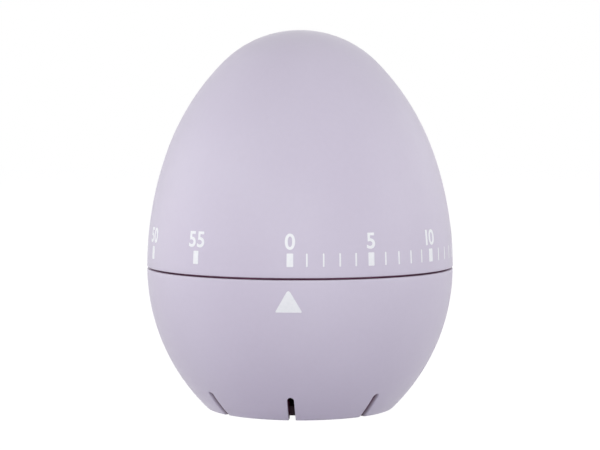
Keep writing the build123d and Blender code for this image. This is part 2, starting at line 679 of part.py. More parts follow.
# ---------------------------------------------------------------- clutch on the second arbor
def clutch_washer():
    z = SECOND_Z[1]
    return ring(CLUTCH_WASHER, ARBOR_RADIUS, z, z + CLUTCH_WASHER_THICK, SECOND_AT).solid()


def clutch_collar():
    z = SECOND_Z[1] + CLUTCH_WASHER_THICK
    return ring(CLUTCH_COLLAR, ARBOR_RADIUS, z, z + CLUTCH_COLLAR_THICK, SECOND_AT).solid()


# ---------------------------------------------------------------- escapement
ESCAPE_PITCH = 360 / ESCAPE_TEETH
PIN_HALF_SPAN = PALLET_SPAN * ESCAPE_PITCH / 2
TOWARD_PALLET = direction(ESCAPE_AT, PALLET_AT)


def escape_wheel():
    """Pointed teeth whose steep faces lead clockwise, seen from above."""
    phase = TOWARD_PALLET + PIN_HALF_SPAN + PALLET_LEAD * ESCAPE_PITCH
    tip_width = math.degrees(ESCAPE_FLAT / ESCAPE_TIP)
    points = []
    for tooth in range(ESCAPE_TEETH):
        face = phase + tooth * ESCAPE_PITCH
        points.append(polar(ESCAPE_ROOT, face))
        points.append(polar(ESCAPE_TIP, face - tip_width / 2))
        points.append(polar(ESCAPE_TIP, face + tip_width / 2))
        points.append(polar(ESCAPE_ROOT, face + ESCAPE_BACK * ESCAPE_PITCH))
    outline = make_face(Polyline(*points, close=True))
    wheel = extrude(Pos(ESCAPE_AT[0], ESCAPE_AT[1], ESCAPE_Z[0]) * outline, ESCAPE_Z[1] - ESCAPE_Z[0])
    return (wheel - disc(ARBOR_RADIUS, ESCAPE_Z[0] - CUT, ESCAPE_Z[1] + CUT, ESCAPE_AT)).solid()


def pallet_pin_points():
    radius = ESCAPE_TIP + PIN_RADIUS + PIN_GAP
    points = []
    for side in (1, -1):
        offset = polar(radius, TOWARD_PALLET + side * PIN_HALF_SPAN)
        points.append((ESCAPE_AT[0] + offset[0], ESCAPE_AT[1] + offset[1]))
    return points


def pallet_pins():
    return group([disc(PIN_RADIUS, ESCAPE_Z[0] - PIN_REACH, LEVER_Z[1], at) for at in pallet_pin_points()])


def pallet_lever():
    lever = disc(ARBOR_RADIUS + LEVER_HUB, *LEVER_Z, PALLET_AT)
    for at in pallet_pin_points():
        lever += bar(PALLET_AT, at, 4 * PIN_RADIUS, *LEVER_Z)
    for at in pallet_pin_points():
        lever -= disc(PIN_RADIUS, LEVER_Z[0] - CUT, LEVER_Z[1] + CUT, at)
    return (lever - disc(ARBOR_RADIUS, LEVER_Z[0] - CUT, LEVER_Z[1] + CUT, PALLET_AT)).solid()


def balance_bar():
    turn = PALLET_ANGLE + 90
    ends = []
    for side in (1, -1):
        reach = polar(side * BALANCE_HALF, turn)
        ends.append((PALLET_AT[0] + reach[0], PALLET_AT[1] + reach[1]))
    balance = bar(ends[0], ends[1], BALANCE_WIDTH, *BALANCE_Z)
    balance += disc(ARBOR_RADIUS + BALANCE_HUB, *BALANCE_Z, PALLET_AT)
    for at in ends:
        balance += disc(BALANCE_WEIGHT, *BALANCE_Z, at)
    return (balance - disc(ARBOR_RADIUS, BALANCE_Z[0] - CUT, BALANCE_Z[1] + CUT, PALLET_AT)).solid()


# ---------------------------------------------------------------- striking work
def star_wheel():
    """Pointed star; a gap faces the hammer's nose."""
    pitch = 360 / STAR_TEETH
    phase = NOSE_DIRECTION + pitch / 2
    tip = math.degrees(STAR_FLAT / STAR_TIP)
    points = []
    for tooth in range(STAR_TEETH):
        middle = phase + tooth * pitch
        points.append(polar(STAR_ROOT, middle - pitch * STAR_FOOT))
        points.append(polar(STAR_TIP, middle - tip))
        points.append(polar(STAR_TIP, middle + tip))
        points.append(polar(STAR_ROOT, middle + pitch * STAR_FOOT))
    outline = make_face(Polyline(*points, close=True))
    wheel = extrude(Pos(STAR_AT[0], STAR_AT[1], STAR_Z[0]) * outline, STAR_Z[1] - STAR_Z[0])
    return (wheel - disc(ARBOR_RADIUS, STAR_Z[0] - CUT, STAR_Z[1] + CUT, STAR_AT)).solid()


NOSE_DIRECTION = direction(STAR_AT, HAMMER_AT) + NOSE_TURN
NOSE_OFFSET = polar(STAR_TIP + NOSE_RADIUS + NOSE_GAP, NOSE_DIRECTION)
NOSE_AT = (STAR_AT[0] + NOSE_OFFSET[0], STAR_AT[1] + NOSE_OFFSET[1])
HEAD_ANGLE = HAMMER_ANGLE - math.degrees(math.acos(HEAD_CIRCLE / HAMMER_CIRCLE))
HEAD_AT = polar(HEAD_CIRCLE, HEAD_ANGLE)


def hub_bar(start, end, width, z):
    """Arm with a round hub that sits on the hammer's shaft."""
    arm = bar(start, end, width, *z) + disc(HAMMER_SHAFT + HAMMER_HUB, *z, start)
    return (arm - disc(HAMMER_SHAFT, z[0] - CUT, z[1] + CUT, start)).solid()


def hammer_arbor():
    """Shaft with journals in both plates, carried on below for the arm and above for the lock."""
    low = LOWER_PLATE_Z + PLATE_THICK + END_SHAKE
    high = UPPER_PLATE_Z - END_SHAKE
    rod = disc(HAMMER_SHAFT, low, high, HAMMER_AT)
    rod += disc(ARBOR_RADIUS, ARM_Z[0], LOCK_Z[1], HAMMER_AT)
    return rod.solid()


def hammer_pallet():
    return hub_bar(HAMMER_AT, NOSE_AT, 2 * NOSE_RADIUS, STAR_Z)


def end_arm(start, end, width, z):
    """Arm riveted on a reduced end of the hammer's arbor."""
    arm = bar(start, end, width, *z) + disc(ARBOR_RADIUS + ARM_HUB, *z, start)
    return arm - disc(ARBOR_RADIUS, z[0] - CUT, z[1] + CUT, start)


def hammer_arm():
    arm = end_arm(HAMMER_AT, HEAD_AT, ARM_WIDTH, ARM_Z)
    return (arm - disc(HEAD_STEM, ARM_Z[0] - CUT, ARM_Z[1] + CUT, HEAD_AT)).solid()


def hammer_head():
    low = ARM_Z[0] - HEAD_DROP
    head = disc(HEAD_RADIUS, low, ARM_Z[0] - HEAD_GAP, HEAD_AT)
    head = fillet(head.edges().filter_by(GeomType.CIRCLE), HEAD_ROUND)
    return (head + disc(HEAD_STEM, low + HEAD_RADIUS, ARM_Z[1], HEAD_AT)).solid()


TOWARD_RELEASE = direction(HAMMER_AT, RELEASE_AT)
LOCK_TIP_OFFSET = polar(LOCK_LENGTH, TOWARD_RELEASE)
LOCK_TIP = (HAMMER_AT[0] + LOCK_TIP_OFFSET[0], HAMMER_AT[1] + LOCK_TIP_OFFSET[1])
FINGER_LENGTH = math.dist(HAMMER_AT, RELEASE_AT) - LOCK_LENGTH + FINGER_LAP


def finger_tip():
    """End of the lever's finger, which stands beside the lock's tip."""
    along = polar(FINGER_LENGTH, TOWARD_RELEASE + 180)
    clear = (LOCK_WIDTH + FINGER_WIDTH) / 2 + LOCK_GAP
    aside = polar(clear * FINGER_LENGTH / (FINGER_LENGTH - FINGER_LAP), TOWARD_RELEASE + 90)
    return (RELEASE_AT[0] + along[0] + aside[0], RELEASE_AT[1] + along[1] + aside[1])


def hammer_lock():
    return end_arm(HAMMER_AT, LOCK_TIP, LOCK_WIDTH, LOCK_Z).solid()


CAM_NOSE_CIRCLE = CAM_RADIUS + CAM_NOSE_GAP + CAM_NOSE
CAM_NOSE_ANGLE = RELEASE_ANGLE - math.degrees(math.acos(CAM_NOSE_CIRCLE / RELEASE_CIRCLE))
LEVER_ELBOW = polar(CAM_NOSE_CIRCLE + NOSE_REACH, CAM_NOSE_ANGLE)


def release_lever():
    nose = polar(CAM_NOSE_CIRCLE, CAM_NOSE_ANGLE)
    lever = bar(RELEASE_AT, LEVER_ELBOW, 2 * CAM_NOSE, *LOCK_Z)
    lever += disc(RELEASE_STUD + RELEASE_HUB, *LOCK_Z, RELEASE_AT)
    lever += bar(LEVER_ELBOW, nose, 2 * CAM_NOSE, *LOCK_Z)
    lever += bar(RELEASE_AT, finger_tip(), FINGER_WIDTH, *LOCK_Z)
    lever -= disc(RELEASE_STUD + PIVOT_GAP, LOCK_Z[0] - CUT, LOCK_Z[1] + CUT, RELEASE_AT)
    return lever.solid()


def release_stud():
    seat = LOCK_Z[1] + RELEASE_GAP
    stud = disc(RELEASE_STUD, UPPER_PLATE_Z, seat, RELEASE_AT)
    stud += disc(RELEASE_STUD + RELEASE_CAP, seat, seat + RELEASE_CAP, RELEASE_AT)
    return stud.solid()


def stop_stud():
    high = CAM_Z[1] + TAB_THICK + STOP_OVER
    return disc(STOP_RADIUS, UPPER_PLATE_Z, high, polar(STOP_CIRCLE, STOP_ANGLE)).solid()


def strike_cam():
    """Disc with the release notch and the tab that meets the stop stud at either end of the turn."""
    cam = disc(CAM_RADIUS, *CAM_Z)
    side = math.degrees((CAM_NOSE + NOTCH_MARGIN) / CAM_RADIUS)
    middle = CAM_NOSE_ANGLE - SPARE_TURN / 2
    spread = side + SPARE_TURN / 2
    floor = CAM_RADIUS - CAM_NOTCH_DEPTH
    for turn in (middle - spread, middle, middle + spread):
        cam -= block(floor, CAM_RADIUS + CUT, NOTCH_CUT, CAM_Z[0] - CUT, CAM_Z[1] + CUT, turn)
    tab_z = (CAM_Z[1], CAM_Z[1] + TAB_THICK)
    tab = block(0, STOP_CIRCLE + STOP_RADIUS, TAB_WIDTH, *tab_z, STOP_ANGLE - SPARE_TURN / 2)
    tab += disc(MAIN_JOURNAL + TAB_HUB, *tab_z)
    return (cam + tab - disc(MAIN_JOURNAL, CAM_Z[0] - CUT, tab_z[1] + CUT)).solid()


def bell():
    low, high = BELL_Z
    outer = disc(BELL_RADIUS, low, high)
    outer = fillet(circles_at(outer, low), BELL_ROUND)
    inner = disc(BELL_RADIUS - BELL_WALL, low + BELL_WALL, high + CUT)
    inner = fillet(circles_at(inner, low + BELL_WALL), BELL_ROUND - BELL_WALL)
    return (outer - inner - disc(SCREW_RADIUS, low - CUT, low + BELL_WALL + CUT)).solid()


def bell_post():
    post = disc(POST_RADIUS, BELL_Z[0] + BELL_WALL, LOWER_PLATE_Z)
    post += disc(SPIGOT_RADIUS, LOWER_PLATE_Z - CUT, LOWER_PLATE_Z + PLATE_THICK)
    post -= disc(MAIN_PIVOT + PIVOT_GAP, LOWER_PLATE_Z - PLATE_THICK, LOWER_PLATE_Z + PLATE_THICK + CUT)
    post -= disc(SCREW_RADIUS, BELL_Z[0], BELL_Z[0] + SCREW_LENGTH)
    return post.solid()


def bell_screw():
    return screw(CENTRE, BELL_Z[0], up=False).solid()


# ---------------------------------------------------------------- leaf springs
def beside(start, end, share, gap):
    """Point beside an arm, on its left, where a leaf's tip rests with a gap."""
    turn = direction(start, end)
    along = polar(share * math.dist(start, end), turn)
    aside = polar(gap + LEAF_THICK / 2, turn + 90)
    return (start[0] + along[0] + aside[0], start[1] + along[1] + aside[1])


def leaf(anchor, tip, z):
    """Thin flat strip on edge."""
    return bar(anchor, tip, LEAF_THICK, *z)


def hammer_spring():
    """Clipped round a pillar; presses the hammer's pallet toward the star."""
    anchor = polar(PILLAR_CIRCLE, HAMMER_SPRING_PILLAR)
    tip = beside(NOSE_AT, HAMMER_AT, 1 - HAMMER_LEAF_SHARE, NOSE_RADIUS + LEAF_GAP)
    low, high = STAR_Z[0] + LEAF_GAP, STAR_Z[1] - LEAF_GAP
    spring = leaf(anchor, tip, (low, high)) + disc(PILLAR_RADIUS + CLIP_WALL, low, high, anchor)
    return (spring - disc(PILLAR_RADIUS, low - CUT, high + CUT, anchor)).solid()


def release_spring():
    """Stands on its foot on the upper plate; presses the lever's nose toward the cam."""
    anchor = polar(RELEASE_FOOT_CIRCLE, RELEASE_FOOT_ANGLE)
    tip = beside(RELEASE_AT, LEVER_ELBOW, RELEASE_LEAF_SHARE, CAM_NOSE + LEAF_GAP)
    foot = disc(RELEASE_FOOT, UPPER_PLATE_Z + PLATE_THICK, LOCK_Z[1], anchor)
    return (foot + leaf(anchor, tip, (LOCK_Z[0] + LEAF_GAP, LOCK_Z[1] - LEAF_GAP))).solid()


# ---------------------------------------------------------------- assembly
def second_arbor():
    phase = pinion_phase(CENTRE, GREAT_PHASE, GREAT_TEETH, SECOND_AT)
    return pinion_arbor(SECOND_AT, GREAT_MODULE, phase, GREAT_Z)


def third_arbor():
    phase = pinion_phase(SECOND_AT, SECOND_PHASE, SECOND_TEETH, THIRD_AT)
    return pinion_arbor(THIRD_AT, SECOND_MODULE, phase, SECOND_Z)


def escape_arbor():
    phase = pinion_phase(THIRD_AT, THIRD_PHASE, THIRD_TEETH, ESCAPE_AT)
    return pinion_arbor(ESCAPE_AT, THIRD_MODULE, phase, THIRD_Z)


def strike_arbor():
    phase = pinion_phase(CENTRE, GREAT_PHASE, GREAT_TEETH, STRIKE_AT)
    return pinion_arbor(STRIKE_AT, GREAT_MODULE, phase, GREAT_Z)


def star_arbor():
    phase = pinion_phase(STRIKE_AT, STRIKE_PHASE, STRIKE_TEETH, STAR_AT)
    return pinion_arbor(STAR_AT, STRIKE_MODULE, phase, SECOND_Z)


PARTS = {
    "base_shell": base_shell,
    "bottom_cover": bottom_cover,
    "cover_screws": cover_screws,
    "dial_cap": dial_cap,
    "dial_carrier": dial_carrier,
    "carrier_screws": carrier_screws,
    "main_arbor": main_arbor,
    "great_wheel": great_wheel,
    "mainspring": mainspring,
    "spring_post": spring_post,
    "lower_plate": lower_plate,
    "upper_plate": upper_plate,
    "pillars": pillars,
    "plate_screws": plate_screws,
    "movement_screws": movement_screws,
    "second_arbor": second_arbor,
    "second_wheel": lambda: train_wheel(SECOND_TEETH, SECOND_MODULE, SECOND_PHASE, SECOND_Z, SECOND_AT),
    "clutch_washer": clutch_washer,
    "clutch_collar": clutch_collar,
    "third_arbor": third_arbor,
    "third_wheel": lambda: train_wheel(THIRD_TEETH, THIRD_MODULE, THIRD_PHASE, THIRD_Z, THIRD_AT),
    "escape_arbor": escape_arbor,
    "escape_wheel": escape_wheel,
    "pallet_arbor": lambda: arbor(PALLET_AT).solid(),
    "pallet_lever": pallet_lever,
    "pallet_pins": pallet_pins,
    "balance_bar": balance_bar,
    "strike_arbor": strike_arbor,
    "strike_wheel": lambda: train_wheel(STRIKE_TEETH, STRIKE_MODULE, STRIKE_PHASE, SECOND_Z, STRIKE_AT),
    "star_arbor": star_arbor,
    "star_wheel": star_wheel,
    "hammer_arbor": hammer_arbor,
    "hammer_pallet": hammer_pallet,
    "hammer_arm": hammer_arm,
    "hammer_head": hammer_head,
    "hammer_lock": hammer_lock,
    "hammer_spring": hammer_spring,
    "release_lever": release_lever,
    "release_stud": release_stud,
    "release_spring": release_spring,
    "strike_cam": strike_cam,
    "stop_stud": stop_stud,
    "bell": bell,
    "bell_post": bell_post,
    "bell_screw": bell_screw,
}

os.makedirs("parts", exist_ok=True)
for name, make in PARTS.items():
    export_step(make(), f"parts/{name}.step")

AXES = {
    "second": SECOND_AT, "third": THIRD_AT, "escape": ESCAPE_AT, "pallet": PALLET_AT,
    "strike": STRIKE_AT, "star": STAR_AT, "hammer": HAMMER_AT, "release": RELEASE_AT,
}
for name, at in AXES.items():
    print("axis", name, round(at[0], 4), round(at[1], 4))
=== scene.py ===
import json
import math

import bmesh
import bpy
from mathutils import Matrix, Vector


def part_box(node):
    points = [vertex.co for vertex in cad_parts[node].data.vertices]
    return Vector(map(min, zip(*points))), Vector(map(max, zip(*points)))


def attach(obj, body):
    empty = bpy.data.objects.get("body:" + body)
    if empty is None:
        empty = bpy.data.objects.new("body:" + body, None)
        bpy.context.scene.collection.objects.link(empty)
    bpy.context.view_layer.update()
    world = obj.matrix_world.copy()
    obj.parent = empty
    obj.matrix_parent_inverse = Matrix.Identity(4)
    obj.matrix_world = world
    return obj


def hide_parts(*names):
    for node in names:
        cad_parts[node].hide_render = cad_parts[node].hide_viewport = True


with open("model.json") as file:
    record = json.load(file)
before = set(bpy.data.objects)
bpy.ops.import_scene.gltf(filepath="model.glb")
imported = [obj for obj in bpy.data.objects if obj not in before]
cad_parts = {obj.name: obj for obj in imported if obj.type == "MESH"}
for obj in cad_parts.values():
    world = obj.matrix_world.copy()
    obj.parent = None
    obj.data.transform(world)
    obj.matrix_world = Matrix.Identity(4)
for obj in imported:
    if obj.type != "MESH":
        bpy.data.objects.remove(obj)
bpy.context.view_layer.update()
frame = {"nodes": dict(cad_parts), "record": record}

MM = 0.001

# ---------------------------------------------------------------- sizes, in millimetres
cap_low, cap_high = (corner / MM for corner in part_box("dial_cap"))
_, base_high = (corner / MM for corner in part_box("base_shell"))

EGG_HEIGHT = round(cap_high.z, 3)
EGG_RADIUS = 30.0
CAP_RIM_Z = round(cap_low.z, 3)
SEAM_GAP = 0.4
SEAM_Z = CAP_RIM_Z - SEAM_GAP / 2
BASE_RIM_Z = SEAM_Z - SEAM_GAP / 2
WALL = 2.0
CROWN_RADIUS = 21.27
CROWN_ANGLE = 44.4
SHOULDER_ANGLE = 19.7
FOOT_RADIUS = 18.3
FOOT_ROUND = 0.5
FOOT_RIM = 2.15
RIM_ROUND = 0.15
LIP_RADIUS = EGG_RADIUS - WALL - 0.3
LIP_INNER = LIP_RADIUS - 1.1
LIP_TOP = round(base_high.z, 3)
LIP_BOTTOM = BASE_RIM_Z - 2.5
COVER_TOP = 2.4
LEDGE_TOP = 3.6
LEDGE_INNER = 15.0
SLOTS = 8
SLOT_WIDTH = 1.3
SLOT_TOP = 4.85
SLOT_EDGE = 0.14            # rounding of a slot's edge
PATCH_TOP = 8.0             # the ring of quads round the slots ends here

TOP_COLUMNS = 36            # columns of quads across one slot's sector
COLUMNS = SLOTS * TOP_COLUMNS
SLOT_HALF = SLOT_WIDTH / 2
SLOT_ROUND_Z = SLOT_TOP - SLOT_HALF
HALF_SECTOR = 180.0 / SLOTS
BEVEL_STEPS = 4
PATCH_RINGS = 12
PATCH_SPREAD = 1.6          # how much the rings crowd toward the slot
FOOT_KEEP = 1.2             # below this level the quads outside run straight across
LEG_STEP = 0.05             # least length between a leg's last two points

# printed scale on the dial
MINUTE = 5.88               # degrees from one minute to the next
POINTER_TURN = 0.55         # the print sits this far round from the slots
ZERO_TURN = 1.08            # the dial stands half a degree past the pointer
TICK_LOW, TICK_HIGH = 29.95, 32.4
MAJOR_WIDTH = 1.22
MINOR_WIDTH = 0.30
MINOR_UP_TO = 15            # single minutes are marked only up to here
NUMBER_LOW = 33.05
NUMBER_HEIGHT = 2.95
DIGIT_SQUEEZE = 0.99
LAST_NUMBER = 55
INK = 0.03                  # how far the print stands proud
INK_SUNK = 0.03
POINTER_LOW, POINTER_HIGH = 21.6, 25.55
POINTER_WIDTH = 5.0
NUMBER_STROKE = 0.020       # weight added to the built-in font, in shares of its size
NARROW_PAIR = 0.86          # spacing of a number that starts with a one

# screw bosses inside the two shells
SCREW_HOLE = 0.8            # radius of the blind hole
HOLE_DEPTH = 3.5
BOSS_EDGE = 0.2             # bevel at a boss's end
BOSS_COLUMNS = 48
CARRIER_TOP = 33.0          # the carrier disc's upper face
CARRIER_CIRCLE = 17.0
CARRIER_TURNS = (30, 150, 270)
DIAL_BOSS = 2.6
BOSS_CIRCLE = 24.4
BOSS_TURNS = (85, 205, 325)
BASE_BOSS = 2.2
BOSS_TOP = 25.2

# soft-touch lacquer, and painted shade in the base's slots, seam and inside
SHEEN = 0.30
SPECULAR = 0.5
RECESS_SHADE_FROM, RECESS_SHADE_TO = 0.12, 1.1      # depth below the outside over which the painted shade fades in
SEAM_SHADE_FROM = 12.0                    # above this level the painted shade turns to the lighter seam shade

# camera, floor and light
CAMERA_TURN = 4.6           # degrees round from the pointer, toward +X
CAMERA_DISTANCE = 371.8     # level distance from the egg's axis
CAMERA_HEIGHT = 57.95
CAMERA_PITCH = 0.0595       # radians below level
CAMERA_LENS = 113.57
FLOOR_GLOW = 0.96
FLOOR_SHADE = (0.16, 0.16, 0.16, 1.0)
FLOOR_BOUNCE = (0.42, 0.39, 0.47, 1.0)
AMBIENT = (0.97, 0.95, 1.04, 1.0)
AMBIENT_LEVEL = 0.22


# ---------------------------------------------------------------- egg outline
def on_arc(centre, radius, degrees):
    a = math.radians(degrees)
    return (centre[0] + radius * math.cos(a), centre[1] + radius * math.sin(a))


def upper_radii():
    c1, s1 = math.cos(math.radians(CROWN_ANGLE)), math.sin(math.radians(CROWN_ANGLE))
    c2, s2 = math.cos(math.radians(SHOULDER_ANGLE)), math.sin(math.radians(SHOULDER_ANGLE))
    wide = EGG_RADIUS - CROWN_RADIUS * c1
    tall = EGG_HEIGHT - SEAM_Z - CROWN_RADIUS * (1 - s1)
    a, b, c, d = c2 - c1, 1 - c2, s1 - s2, s2
    det = a * d - b * c
    return (wide * d - b * tall) / det, (a * tall - c * wide) / det


SHOULDER_RADIUS, FLANK_RADIUS = upper_radii()
FOOT_INSET = EGG_RADIUS - FOOT_RADIUS
LOWER_RADIUS = (FOOT_INSET ** 2 + SEAM_Z ** 2) / (2 * FOOT_INSET)
FLANK_CENTRE = (EGG_RADIUS - FLANK_RADIUS, SEAM_Z)
SHOULDER_JOIN = on_arc(FLANK_CENTRE, FLANK_RADIUS, SHOULDER_ANGLE)
SHOULDER_BACK = on_arc((0, 0), SHOULDER_RADIUS, SHOULDER_ANGLE)
SHOULDER_CENTRE = (SHOULDER_JOIN[0] - SHOULDER_BACK[0], SHOULDER_JOIN[1] - SHOULDER_BACK[1])
CROWN_CENTRE = (0.0, EGG_HEIGHT - CROWN_RADIUS)
LOWER_CENTRE = (EGG_RADIUS - LOWER_RADIUS, SEAM_Z)
FOOT_TURN = -math.degrees(math.asin((SEAM_Z - FOOT_ROUND) / (LOWER_RADIUS - FOOT_ROUND)))


def arc_run(centre, radius, start, end, step=1.0):
    """Points along an arc, about step millimetres apart."""
    count = max(2, int(abs(math.radians(end - start)) * radius / step))
    return [on_arc(centre, radius, start + (end - start) * i / count) for i in range(count + 1)]


def angle_of(centre, radius, z):
    return math.degrees(math.asin((z - centre[1]) / radius))


def straight(start, end, count):
    return [(start[0] + (end[0] - start[0]) * i / count, start[1] + (end[1] - start[1]) * i / count)
            for i in range(1, count + 1)]


def lower_r(z, inset=0.0):
    radius = LOWER_RADIUS - inset
    return LOWER_CENTRE[0] + math.sqrt(radius ** 2 - (z - LOWER_CENTRE[1]) ** 2)


def upper_surface(z):
    """Radius and outward normal (radial, vertical) of the dial's outside at a level below the shoulder."""
    rise = math.asin((z - SEAM_Z) / FLANK_RADIUS)
    return FLANK_CENTRE[0] + FLANK_RADIUS * math.cos(rise), (math.cos(rise), math.sin(rise))


def lower_surface(z):
    rise = math.asin((z - SEAM_Z) / LOWER_RADIUS)
    return LOWER_CENTRE[0] + LOWER_RADIUS * math.cos(rise), (math.cos(rise), math.sin(rise))


# ---------------------------------------------------------------- mesh helpers
def new_object(name, verts, faces, body, material, crease=35.0):
    """Mesh object from points in millimetres; edges sharper than crease stay sharp."""
    mesh = bpy.data.meshes.new(name)
    mesh.from_pydata([Vector(v) * MM for v in verts], [], faces)
    mesh.validate()
    build = bmesh.new()
    build.from_mesh(mesh)
    bmesh.ops.remove_doubles(build, verts=build.verts, dist=2e-7)
    bmesh.ops.recalc_face_normals(build, faces=build.faces)
    for face in build.faces:
        face.smooth = True
    build.to_mesh(mesh)
    build.free()
    mesh.set_sharp_from_angle(angle=math.radians(crease))
    obj = bpy.data.objects.new(name, mesh)
    bpy.context.scene.collection.objects.link(obj)
    mesh.materials.append(material)
    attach(obj, body)
    return obj


def lathe(profile, columns, verts, faces, turn=0.0):
    """Adds the surface that an open profile of (radius, z) sweeps; a point on the axis closes as a fan."""
    rows = []
    for r, z in profile:
        if r < 1e-6:
            rows.append([len(verts)])
            verts.append((0.0, 0.0, z))
            continue
        rows.append(list(range(len(verts), len(verts) + columns)))
        for c in range(columns):
            a = math.radians(turn + 360.0 * c / columns)
            verts.append((r * math.sin(a), -r * math.cos(a), z))
    for low, high in zip(rows, rows[1:]):
        for c in range(columns):
            d = (c + 1) % columns
            if len(low) == 1:
                faces.append((low[0], high[c], high[d]))
            elif len(high) == 1:
                faces.append((low[c], high[0], low[d]))
            else:
                faces.append((low[c], high[c], high[d], low[d]))


# ---------------------------------------------------------------- shader helpers
def rgb(red, green, blue):
    """Linear colour from 0-255 screen values."""
    out = []
    for value in (red, green, blue):
        c = value / 255
        out.append(c / 12.92 if c <= 0.04045 else ((c + 0.055) / 1.055) ** 2.4)
    return (*out, 1.0)


# painted shade, not a colour of the plastic: dark plum in the base's slots and inside
RECESS_SHADE_PLUM = rgb(104, 46, 74)
SEAM_SHADE_PLUM = rgb(158, 108, 136)      # painted shade in the seam, lighter than in the slots
LACQUER = (rgb(208, 202, 217), rgb(205, 198, 214))


class Shader:
    """A material with a Principled shader and short calls for its texture nodes."""

    def __init__(self, name):
        self.material = bpy.data.materials.new(name)
        self.material.use_nodes = True
        self.tree = self.material.node_tree
        self.tree.nodes.clear()
        self.out = self.tree.nodes.new("ShaderNodeOutputMaterial")
        self.main = self.tree.nodes.new("ShaderNodeBsdfPrincipled")
        self.tree.links.new(self.main.outputs[0], self.out.inputs[0])
        self.place = self.tree.nodes.new("ShaderNodeTexCoord").outputs["Object"]

    def set(self, **values):
        for key, value in values.items():
            self.main.inputs[key.replace("_", " ").title().replace("Ior", "IOR")].default_value = value
        return self

    def node(self, kind, **settings):
        made = self.tree.nodes.new(kind)
        for key, value in settings.items():
            setattr(made, key, value)
        return made

    def link(self, output, socket):
        self.tree.links.new(output, socket)

    def noise(self, size_mm, detail=3.0, rough=0.55, stretch=(1, 1, 1), place=None):
        """Noise whose features are about size_mm across."""
        scaled = self.node("ShaderNodeMapping")
        scaled.inputs["Scale"].default_value = stretch
        self.link(place or self.place, scaled.inputs["Vector"])
        noise = self.node("ShaderNodeTexNoise")
        noise.inputs["Scale"].default_value = 1.0 / (size_mm * MM)
        noise.inputs["Detail"].default_value = detail
        noise.inputs["Roughness"].default_value = rough
        self.link(scaled.outputs[0], noise.inputs["Vector"])
        return noise.outputs["Fac"]

    def spread(self, factor, low, high, from_low=0.3, from_high=0.7):
        ranged = self.node("ShaderNodeMapRange")
        ranged.inputs["From Min"].default_value = from_low
        ranged.inputs["From Max"].default_value = from_high
        ranged.inputs["To Min"].default_value = low
        ranged.inputs["To Max"].default_value = high
        self.link(factor, ranged.inputs["Value"])
        return ranged.outputs["Result"]

    def mix(self, factor, first, second):
        """Colour between two, which are colours or outputs."""
        mixed = self.node("ShaderNodeMix", data_type="RGBA")
        self.link(factor, mixed.inputs["Factor"])
        for socket, value in ((mixed.inputs[6], first), (mixed.inputs[7], second)):
            if isinstance(value, tuple):
                socket.default_value = value
            else:
                self.link(value, socket)
        return mixed.outputs[2]

    def math(self, operation, first, second=0.0):
        done = self.node("ShaderNodeMath", operation=operation)
        for socket, value in zip(done.inputs, (first, second)):
            if isinstance(value, float):
                socket.default_value = value
            else:
                self.link(value, socket)
        return done.outputs[0]

    def hypotenuse(self, first, second):
        squares = [self.math("MULTIPLY", side, side) for side in (first, second)]
        return self.math("SQRT", self.math("ADD", *squares))

    # mask of the painted shade: where the base lies below its outside surface
    def depth_share(self, centre, radius):
        """0 on a surface of revolution whose outline is one arc, 1 well below it; sizes in millimetres."""
        parts = self.node("ShaderNodeSeparateXYZ")
        self.link(self.place, parts.inputs[0])
        x, y, z = (self.math("MULTIPLY", parts.outputs[i], 1 / MM) for i in range(3))
        out = self.math("SUBTRACT", self.hypotenuse(x, y), float(centre[0]))
        up = self.math("SUBTRACT", z, float(centre[1]))
        depth = self.math("SUBTRACT", float(radius), self.hypotenuse(out, up))
        return self.spread(depth, 0.0, 1.0, RECESS_SHADE_FROM, RECESS_SHADE_TO)

    def colour(self, output):
        self.link(output, self.main.inputs["Base Color"])
        return self

    def roughness(self, output):
        self.link(output, self.main.inputs["Roughness"])
        return self

    def bump(self, height, depth_mm, below=None):
        bump = self.node("ShaderNodeBump")
        bump.inputs["Strength"].default_value = 1.0
        bump.inputs["Distance"].default_value = depth_mm * MM
        self.link(height, bump.inputs["Height"])
        if below is not None:
            self.link(below, bump.inputs["Normal"])
        self.link(bump.outputs[0], self.main.inputs["Normal"])
        return bump.outputs[0]


